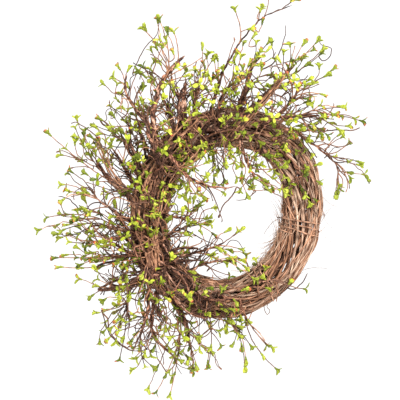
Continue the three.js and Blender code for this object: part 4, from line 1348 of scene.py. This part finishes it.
# How each ends, its radius and its rough depth at the root and at the tip, and its route. Millimetres in the front
# view, from the middle of the ring. Each is rooted on the nearest stem, twig or cane. "pale" is plain, but lighter.
loneTwigRows = [
    ("plain", 0.9, 0.6, -14, -20, [(-137, 205), (-128, 226), (-122, 238), (-116, 247), (-104, 259), (-101, 265),
      (-98, 283)]),
    ("blunt", 1.0, 0.7, -14, -22, [(-188, 109), (-203, 122), (-215, 130), (-223, 134), (-230, 133)]),
    ("bud", 0.8, 0.5, -18, -24, [(-170, 139), (-169, 149), (-172, 160), (-173, 167)]),
    ("plain", 0.7, 0.5, -20, -26, [(-176, 139), (-178, 149), (-173, 154), (-167, 152), (-161, 146), (-163, 142)]),
    ("blunt", 1.5, 1.3, -12, -16, [(-170, 125), (-181, 130), (-187, 137), (-190, 145)]),
    ("plain", 0.7, 0.5, -20, -24, [(-136, 137), (-143, 140), (-154, 142)]),
    ("plain", 0.7, 0.5, -16, -20, [(-140, 137), (-148, 130), (-158, 127)]),
    ("bud", 0.9, 0.6, -16, -20, [(-206, 79), (-212, 79), (-224, 82), (-233, 88), (-244, 92), (-253, 90)]),
    ("bud", 0.9, 0.6, -14, -24, [(-197, 65), (-206, 68), (-221, 68), (-232, 66)]),
    ("plain", 1.0, 0.7, -14, -20, [(-215, 1), (-226, 13), (-233, 20), (-241, 23), (-250, 24)]),
    ("plain", 0.8, 0.5, -16, -24, [(-238, -7), (-242, 1), (-245, 10), (-250, 18)]),
    ("bud", 0.8, 0.5, -16, -18, [(-242, -32), (-248, -23), (-256, -20), (-265, -20)]),
    ("plain", 2.8, 1.2, -16, -22, [(-152, -68), (-170, -73), (-182, -76), (-191, -80), (-197, -85)]),
    ("plain", 0.7, 0.5, -20, -16, [(-196, -85), (-193, -88), (-181, -92), (-170, -100)]),
    ("blunt", 2.2, 1.9, -14, -20, [(-152, -97), (-170, -104), (-182, -110), (-190, -115)]),
    ("plain", 1.2, 0.5, -10, -24, [(53, 212), (68, 220), (76, 230), (82, 242), (86, 255), (89, 268), (88, 280)]),
    ("bud", 1.2, 0.9, -18, -30, [(16, 38), (13, 31), (7, 22), (-4, 10), (-11, -8)]),
    ("plain", 1.2, 1.1, -12, -22, [(-184, -145), (-175, -157), (-173, -172), (-168, -182), (-156, -194),
      (-139, -204), (-134, -196), (-131, -185)]),
    ("plain", 0.7, 0.5, -16, -20, [(-157, -146), (-155, -157), (-150, -163), (-141, -166)]),
    ("plain", 0.7, 0.5, -16, -24, [(-142, -164), (-145, -176), (-144, -187), (-137, -192), (-128, -194)]),
    ("plain", 0.7, 0.5, -20, -14, [(-128, -166), (-120, -174), (-113, -182)]),
    ("plain", 0.8, 0.6, -14, -18, [(-131, -191), (-120, -200), (-111, -205), (-98, -208)]),
    ("blunt", 0.9, 0.9, -16, -20, [(-101, -218), (-94, -228), (-88, -237)]),
    ("plain", 0.7, 0.5, -18, -26, [(-74, -224), (-66, -230), (-58, -233), (-49, -238)]),
    ("plain", 0.7, 0.5, -14, -20, [(-77, -215), (-73, -228), (-68, -238), (-64, -242)]),
    ("plain", 0.7, 0.5, -22, -18, [(-64, -206), (-60, -215), (-54, -221), (-52, -230), (-54, -241)]),
    ("plain", 0.7, 0.5, -20, -24, [(-70, -197), (-69, -213), (-64, -221), (-60, -228)]),
    ("plain", 0.7, 0.5, -24, -18, [(-91, -155), (-89, -166), (-85, -178), (-79, -187), (-70, -193)]),
    ("plain", 0.7, 0.5, -16, -22, [(-29, -206), (-21, -209), (-16, -215), (-10, -227), (-5, -230)]),
    ("plain", 0.8, 0.6, -20, -14, [(-40, -149), (-39, -166), (-40, -178), (-39, -191)]),
    ("plain", 0.9, 0.5, -24, -18, [(19, -152), (23, -163), (25, -174), (24, -183), (20, -192)]),
    ("plain", 0.6, 0.5, -28, -26, [(58, -137), (58, -144), (62, -153), (66, -147), (62, -140), (66, -133)]),
    ("bud", 0.8, 0.6, -16, -26, [(2, 226), (7, 238), (10, 248), (13, 255), (12, 260)]),
    ("plain", 0.8, 0.6, -20, -28, [(48, 221), (59, 224), (70, 231), (75, 239)]),
    ("plain", 0.7, 0.5, -18, -26, [(55, 193), (59, 195), (67, 202), (78, 206), (86, 204), (91, 200)]),
    ("plain", 0.7, 0.5, -22, -16, [(64, 218), (82, 214), (95, 201), (106, 190), (113, 187)]),
    ("plain", 0.9, 0.7, -16, -28, [(38, 199), (41, 193), (48, 184), (56, 176), (61, 170)]),
    ("plain", 0.8, 0.6, -18, -28, [(8, 199), (11, 188), (18, 176), (23, 172)]),
    ("plain", 0.7, 0.5, -24, -26, [(-7, 171), (8, 168), (22, 163)]),
    ("plain", 0.9, 0.6, -20, -30, [(145, 226), (155, 232), (158, 244), (149, 248), (141, 251), (140, 261)]),
    ("plain", 0.8, 0.6, -24, -18, [(112, 170), (116, 182), (124, 184), (125, 176), (127, 171)]),
    ("plain", 1.1, 0.8, -24, -32, [(115, 128), (127, 131), (146, 141), (158, 154), (160, 163)]),
    ("blunt", 1.7, 0.9, -26, -34, [(82, 142), (104, 142), (123, 142), (138, 144)]),
    ("blunt", 1.1, 0.9, -20, -28, [(121, 122), (146, 121), (164, 123), (187, 122), (199, 126)]),
    ("plain", 0.8, 0.6, -22, -26, [(121, 103), (142, 105), (153, 100), (154, 97), (145, 95)]),
    ("plain", 0.7, 0.5, -18, -24, [(145, 80), (149, 83), (155, 90), (160, 96), (170, 96)]),
    ("plain", 0.8, 0.5, -16, -24, [(46, 32), (37, 25), (27, 19), (14, 19)]),
    ("plain", 0.9, 0.7, -14, -18, [(55, 37), (68, 30), (82, 24), (88, 20)]),
    ("bud", 0.6, 0.5, -8, -6, [(89, -7), (83, -8), (77, -7)]),
    ("plain", 0.4, 0.3, -10, -14, [(80, -9), (70, -15), (61, -26), (56, -34)]),
    ("plain", 0.8, 0.6, -18, -26, [(-29, -59), (-23, -52), (-10, -50), (-4, -43), (-10, -38), (-20, -41),
      (-23, -56)]),
    ("plain", 0.8, 0.5, -22, -30, [(-17, -58), (-1, -50), (8, -41), (18, -43), (23, -50), (30, -58)]),
    ("plain", 0.8, 0.5, -20, -24, [(-29, -88), (-20, -80), (-10, -75), (5, -73), (16, -80), (21, -87)]),
    ("blunt", 1.5, 1.2, -16, -22, [(16, -67), (22, -69), (31, -75), (35, -84)]),
    ("plain", 0.7, 0.5, -18, -24, [(-44, 19), (-38, 11), (-33, 2), (-32, -5), (-38, -15)]),
    ("plain", 0.6, 0.5, -22, -20, [(-3, 94), (-2, 74), (-4, 55), (-2, 37)]),
    ("plain", 0.8, 0.5, -20, -26, [(-7, 94), (-4, 85), (-10, 73), (-20, 64)]),
    ("plain", 1.0, 0.8, -14, -22, [(88, -112), (100, -115), (110, -109), (117, -101), (122, -90)]),
    ("plain", 0.35, 0.25, -10, -14, [(116, -88), (121, -85), (134, -83), (153, -84)]),
    ("bud", 0.5, 0.5, -10, -8, [(143, 7), (146, 1), (148, -6)]),
    ("leaf", 0.9, 0.6, -30, -40, [(55, 139), (70, 127), (82, 115), (89, 100)]),
    ("leaf", 0.9, 0.6, -30, -38, [(64, 121), (73, 106), (77, 91)]),
    ("leaf", 0.9, 0.6, -30, -36, [(97, 124), (109, 109), (118, 94)]),
    ("leaf", 0.9, 0.6, -30, -40, [(91, 109), (106, 91), (118, 70)]),
    ("leaf", 0.9, 0.6, -24, -34, [(55, 94), (71, 83), (88, 76)]),
    ("leaf", 0.9, 0.6, -28, -36, [(88, 86), (112, 64), (136, 46)]),
    ("leaf", 0.9, 0.6, -28, -34, [(97, 67), (107, 46), (116, 31), (124, 16)]),
    ("leaf", 0.9, 0.6, -20, -30, [(46, 74), (64, 55), (79, 44), (86, 32)]),
    ("leaf", 0.9, 0.6, -16, -26, [(34, 64), (46, 52), (56, 47)]),
    ("leaf", 0.9, 0.6, -16, -26, [(26, 52), (40, 34), (61, 34)]),
    ("leaf", 0.9, 0.6, -16, -24, [(22, 55), (26, 40), (31, 28)]),
    ("leaf", 0.9, 0.6, -26, -32, [(49, -122), (47, -104)]),
    ("leaf", 0.9, 0.6, -26, -32, [(70, -113), (59, -100)]),
    ("leaf", 0.9, 0.6, -26, -32, [(37, -134), (31, -116)]),
    ("leaf", 0.9, 0.6, -24, -30, [(85, -119), (94, -106)]),
    ("plain", 0.7, 0.4, -32, -26, [(122, 19), (130, 5), (139, -8)]),
    ("leaf", 0.9, 0.6, -26, -34, [(-36, 108), (-30, 95), (-25, 82)]),
    ("leaf", 0.9, 0.6, -24, -32, [(-20, 102), (-17, 86), (-16, 71)]),
    ("leaf", 0.9, 0.6, -28, -36, [(0, 112), (5, 100), (7, 89)]),
    ("leaf", 0.9, 0.6, -30, -38, [(10, 116), (14, 107), (17, 98)]),
    ("leaf", 0.9, 0.6, -22, -28, [(16, 106), (20, 92), (22, 77)]),
    ("leaf", 0.9, 0.6, -26, -34, [(34, 106), (40, 95), (44, 85)]),
    ("leaf", 0.9, 0.6, -20, -26, [(40, 98), (44, 84), (46, 70)]),
    ("leaf", 0.9, 0.6, -28, -36, [(-68, 106), (-63, 96), (-60, 86)]),
    ("leaf", 0.9, 0.6, -24, -34, [(-88, 72), (-78, 62), (-68, 50)]),
    ("leaf", 0.9, 0.6, -20, -28, [(3, -140), (4, -155), (2, -168)]),
    ("leaf", 0.9, 0.6, -16, -24, [(14, -140), (15, -156), (16, -172)]),
    ("leaf", 0.9, 0.6, -18, -30, [(26, -136), (28, -150), (29, -162)]),
    ("leaf", 0.9, 0.6, -24, -34, [(10, -132), (9, -146), (8, -156)]),
    ("leaf", 0.9, 0.6, -22, -36, [(20, -134), (21, -145), (22, -154)]),
    ("leaf", 1.0, 0.6, -30, -40, [(-20, 188), (-28, 205), (-34, 225), (-35, 242)]),
    ("leaf", 1.0, 0.6, -28, -34, [(-40, 190), (-42, 200), (-45, 210)]),
    ("leaf", 1.0, 0.6, -30, -36, [(-10, 190), (-14, 208), (-17, 225)]),
    ("leaf", 1.0, 0.6, -26, -30, [(0, 190), (-2, 200), (-4, 211)]),
    ("leaf", 1.0, 0.6, -28, -36, [(8, 200), (12, 218), (15, 233)]),
    ("leaf", 1.0, 0.6, -24, -28, [(4, 180), (8, 190), (12, 201)]),
    ("leaf", 1.0, 0.6, -34, -42, [(-14, 160), (-20, 170), (-26, 181)]),
    ("leaf", 1.0, 0.6, -36, -44, [(-38, 152), (-44, 160), (-49, 170)]),
    ("leaf", 1.0, 0.6, -26, -32, [(14, 176), (18, 188), (22, 199)]),
    ("leaf", 1.0, 0.6, -28, -36, [(-58, 190), (-60, 202), (-61, 214)]),
    ("leaf", 1.0, 0.6, -30, -38, [(28, 190), (33, 202), (37, 214)]),
    ("pale", 1.3, 0.7, -44, -56, [(-94, 24), (-80, 44), (-62, 66), (-40, 90)]),
    ("pale", 1.0, 0.7, -46, -52, [(-58, 136), (-44, 122), (-28, 106)]),
    ("pale", 3.2, 2.4, -36, -44, [(-112, 54), (-100, 80), (-86, 102), (-73, 124)]),
    ("plain", 2.4, 1.8, -38, -46, [(-104, 52), (-92, 78), (-80, 98), (-66, 122)]),
    ("pale", 1.0, 0.7, -48, -54, [(-108, 20), (-112, 50), (-108, 80)]),
    ("plain", 0.7, 0.5, -30, -40, [(-158, 120), (-146, 100), (-138, 78)]),
    ("plain", 0.7, 0.5, -30, -40, [(-150, 124), (-140, 104), (-132, 84)]),
    ("plain", 0.7, 0.5, -36, -40, [(-148, 66), (-138, 58), (-130, 50)]),
    ("pale", 1.1, 0.7, -48, -56, [(-130, -34), (-112, -20), (-96, -2), (-84, 22)]),
    ("pale", 1.0, 0.7, -46, -54, [(-96, -60), (-112, -40), (-134, -26)]),
    ("bud", 0.9, 0.6, -26, -34, [(-183, -145), (-172, -178), (-154, -196), (-137, -204), (-116, -202)]),
    ("bud", 0.8, 0.6, -28, -36, [(-120, -150), (-134, -168), (-132, -190), (-146, -200)]),
    ("bud", 0.8, 0.6, -28, -36, [(-96, -150), (-88, -172), (-72, -176), (-70, -160)]),
    ("bud", 0.8, 0.6, -28, -36, [(-60, -170), (-48, -178), (-52, -196), (-68, -200), (-70, -214)]),
    ("bud", 0.8, 0.6, -28, -36, [(-60, -190), (-44, -206), (-58, -220), (-46, -232)]),
    ("bud", 0.8, 0.6, -28, -34, [(-36, -196), (-18, -208), (-14, -226), (-5, -234)]),
    ("blunt", 3.0, 1.8, -44, -70, [(10, 112), (24, 130), (40, 148), (58, 168), (76, 190), (83, 199)]),
    ("loose", 1.6, 1.4, 4, 4, [(84, 36), (93, 28), (90, 19), (86, 10), (86, 1), (90, -8), (97, -20)]),
]


# Where leaf clusters show: on the column, all round, far forward, on the ring's top, inside the ring's top, on its
# bottom and along the tall spray. A patch has a middle, how far it reaches and how many clusters are drawn in it.
# Each cluster has a short twig, bowed by so much, that comes from the side of "from".
clusterSeed = 8400
clusterSets = [
    {"from": (-103, -70), "depths": (-50, -64), "length": 26, "bow": 5, "patches": [
        ((-115, -20), (30, 75), 8), ((-110, 110), (30, 45), 4), ((-20, 150), (50, 18), 5), ((-40, -115), (35, 22), 2),
        ((115, 60), (10, 18), 2)], "places": [
        (-133, 124), (-115, 111), (-83, 130), (-97, 82), (-128, 76), (-88, 62), (-58, 59), (-117, 52), (-140, 32),
        (-95, 22), (-110, 16), (-163, 9), (-124, -11), (-133, -23), (-65, -2), (-45, 9), (-57, -16)]},
    {"from": (-103, -70), "depths": (-26, -32), "length": 30, "bow": 6, "patches": [
        ((-215, -40), (30, 30), 4), ((-200, 95), (28, 30), 5), ((-190, 20), (20, 25), 2), ((140, 170), (30, 40), 2),
        ((-30, 0), (22, 40), 3), ((-90, -180), (45, 25), 2)], "places": [
        (-161, 190), (-154, 175), (-145, 209), (-128, 206), (-128, 181), (-151, 154), (-130, 149), (-191, 125),
        (-209, 119), (-220, 112), (-193, 85), (-139, 118), (-107, 223), (-110, 239), (-94, 245), (-74, -154),
        (-96, -165), (-52, -163), (-130, -178), (-75, -191), (-60, -186), (-43, -188), (-39, -201), (-24, -204),
        (-26, -222), (-85, -201), (-106, -199), (-111, -211), (-134, -215), (-126, -142), (-160, -145), (-129, -129),
        (-1, -170), (17, -168), (34, -160), (-12, -175)]},
    {"from": (-103, -70), "depths": (-40, -78), "length": 25, "bow": 4, "patches": [
        ((-155, -50), (40, 25), 5), ((-150, 60), (30, 60), 4), ((105, 180), (25, 20), 3), ((-30, 60), (40, 10), 1),
        ((-95, -170), (45, 20), 2)], "places": []},
    {"from": (0, 110), "depths": (-44, -84), "length": 20, "bow": 4, "patches": [], "places": [
        (24, 135), (43, 148), (52, 137), (59, 144), (44, 169), (76, 156), (69, 139), (89, 131), (97, 135), (108, 121),
        (102, 184), (78, 197), (82, 184), (-3, 131), (29, 148), (16, 137), (59, 159), (37, 182), (16, 203),
        (-39, 146)]},
    {"from": (10, 150), "depths": (-20, -28), "length": 26, "bow": 5, "patches": [((10, 55), (40, 12), 5)],
     "places": []},
    {"from": (-103, -70), "depths": (-44, -50), "length": 24, "bow": 4, "patches": [], "places": [
        (-8, -113), (27, -113), (12, -129), (-6, -142), (5, -144), (-1, -160)]},
    {"from": (-103, -70), "depths": (-30, -32), "length": 15, "bow": 1, "patches": [], "places": [
        (52, 302), (54, 281), (40, 260), (26, 250), (14, 232), (22, 229)]},
]


def clusterPlaces(clusters, draw):  # some at random in each patch, then those at a place of their own
    drawn = []
    for (x, z), (reachX, reachZ), count in clusters["patches"]:
        for _ in range(count):
            way, share = draw.uniform(0, 2 * math.pi), math.sqrt(draw.random())
            drawn.append((x + reachX * share * math.cos(way), z + reachZ * share * math.sin(way)))
    return drawn + clusters["places"]


def clusterRows():  # a short leafy twig to each of those places
    rows, draw = [], random.Random(clusterSeed)
    for clusters in clusterSets:
        for i, place in enumerate(clusterPlaces(clusters, draw)):
            tip = np.array(place, float)
            back = unit(np.array(clusters["from"], float) - tip)
            root = tip + back * clusters["length"]
            bow = np.array([-back[1], back[0]]) * clusters["bow"] * (1 if i % 2 else -1)
            route = [tuple(root), tuple((root + tip) / 2 + bow), place]
            rows.append(("leaf", *loneTwigs["clusterRadii"], *clusters["depths"], route))
    return rows


bundles = {
    "column": {
        "count": 16,
        "route": [(-108, -78), (-118, -20), (-106, 40), (-76, 96), (-34, 138)],
        "spread": (8, 17, 20, 18, 12), "lean": -4, "radius": (1.1, 2.8), "depths": (-47, -60),
        "starts": (0, 0, 1), "lengths": (3, 4), "seed": 8100,
    },
    "top stem": {
        "count": 13,
        "route": [(10, 112), (24, 130), (40, 148), (58, 168), (76, 190), (86, 204)],
        "spread": (7, 5, 4, 3.2, 2.6, 1.8), "lean": -2.4, "radius": (0.9, 1.6), "depths": (-48, -75),
        "starts": (0,), "lengths": (5, 6, 6), "seed": 8200,
    },
    "left stem": {
        "count": 12,
        "route": [(-114, -6), (-128, 13), (-147, 32), (-166, 54), (-180, 80), (-190, 104)],
        "spread": (6, 4.6, 3.8, 3.2, 2.4, 1.6), "lean": 2.6, "radius": (0.9, 1.6), "depths": (-42, -62),
        "starts": (0,), "lengths": (4, 5, 6), "seed": 8300,
    },
}


def bundleRows(name):  # strands side by side, up the column or along a thick stem that the photo has in front of it
    bundle, rows = bundles[name], []
    draw = random.Random(bundle["seed"])
    for i in range(bundle["count"]):
        across = draw.uniform(-1, 1)
        route = [(x + (across + draw.gauss(0, 0.25)) * spread, z + (across + draw.gauss(0, 0.2)) * bundle["lean"])
                 for (x, z), spread in zip(bundle["route"], bundle["spread"])]
        first = draw.choice(bundle["starts"])
        route = route[first:first + draw.choice(bundle["lengths"])]
        radius = draw.uniform(*bundle["radius"])
        rows.append(("pale" if i % 3 else "plain", radius, radius * 0.5, *bundle["depths"], route))
    return rows


def rootOf(route, depth, tree):  # the nearest point of what is there, where a near depth counts less than a near place
    wanted = inPlace((route[0][0], depth * loneTwigs["depthCounts"], route[0][1]))
    held = carriers[tree.find(wanted)[1]]
    return held.x / mm, held.y / mm, (held.z + insideTop) / mm


def makeLoneTwigs():  # the twigs that the photo shows apart from the sprays, bare, curly or with leaves
    strands = Strands()
    draw = random.Random(loneTwigs["seed"])
    tree = treeOf([Vector((point.x, point.y * loneTwigs["depthCounts"], point.z)) for point in carriers])
    rows = loneTwigRows + bundleRows("column") + clusterRows() + bundleRows("top stem") + bundleRows("left stem")
    for number, (end, rootRadius, tipRadius, depth, tipDepth, route) in enumerate(rows):
        x, rootDepth, z = rootOf(route, depth, tree)
        if end != "loose":
            near = math.hypot(x - route[0][0], z - route[0][1]) < loneTwigs["nearRoot"]
            route = [(x, z)] + route[1 if near else 0:]
        tipDepth = kept(tipDepth + (rootDepth - depth) * loneTwigs["depthKept"])
        flat = Line(lambda t: splinePoint(route, t))
        count = max(4, round(flat.length / loneTwigs["pointGap"]))
        points, radii = [], []
        for i in range(count + 1):
            share = i / count
            x, z = flat.at(flat.length * share)
            shift = drift(i * 0.45, number * 3.3) * loneTwigs["wander"] * (1, loneTwigs["forwardWander"], 1)
            points.append(np.array([x, between(rootDepth, tipDepth, share), z]) + shift * min(1, i / 3))
            bud = end == "bud" and flat.length * (1 - share) < loneTwigs["budLength"]
            radii.append(between(rootRadius, tipRadius, share) * (loneTwigs["budSwell"] if bud else 1))
        if end in loneTwigs["taperedEnds"]:
            radii[-1] *= loneTwigs["endTaper"]
        strands.twig(points, radii, loneTwigs["tones"].get(end, loneTwigs["otherTones"][number % 3]), number * 1.7)
        if end == "leaf":
            stops = [(i, 3 if i == count else 2) for i in range(count, 2, -loneTwigs["leafSteps"])]
            addWhorls(strands, points, stops, draw)
    plantSpray("lone_twigs", strands, "leaf")
    print("lone twigs made:", len(rows))


makeLoneTwigs()

triangles = 0
for thing in bpy.context.scene.objects:
    if thing.type == "MESH" and not thing.hide_render:
        thing.data.calc_loop_triangles()
        triangles += len(thing.data.loop_triangles)
print("triangles in all:", triangles)
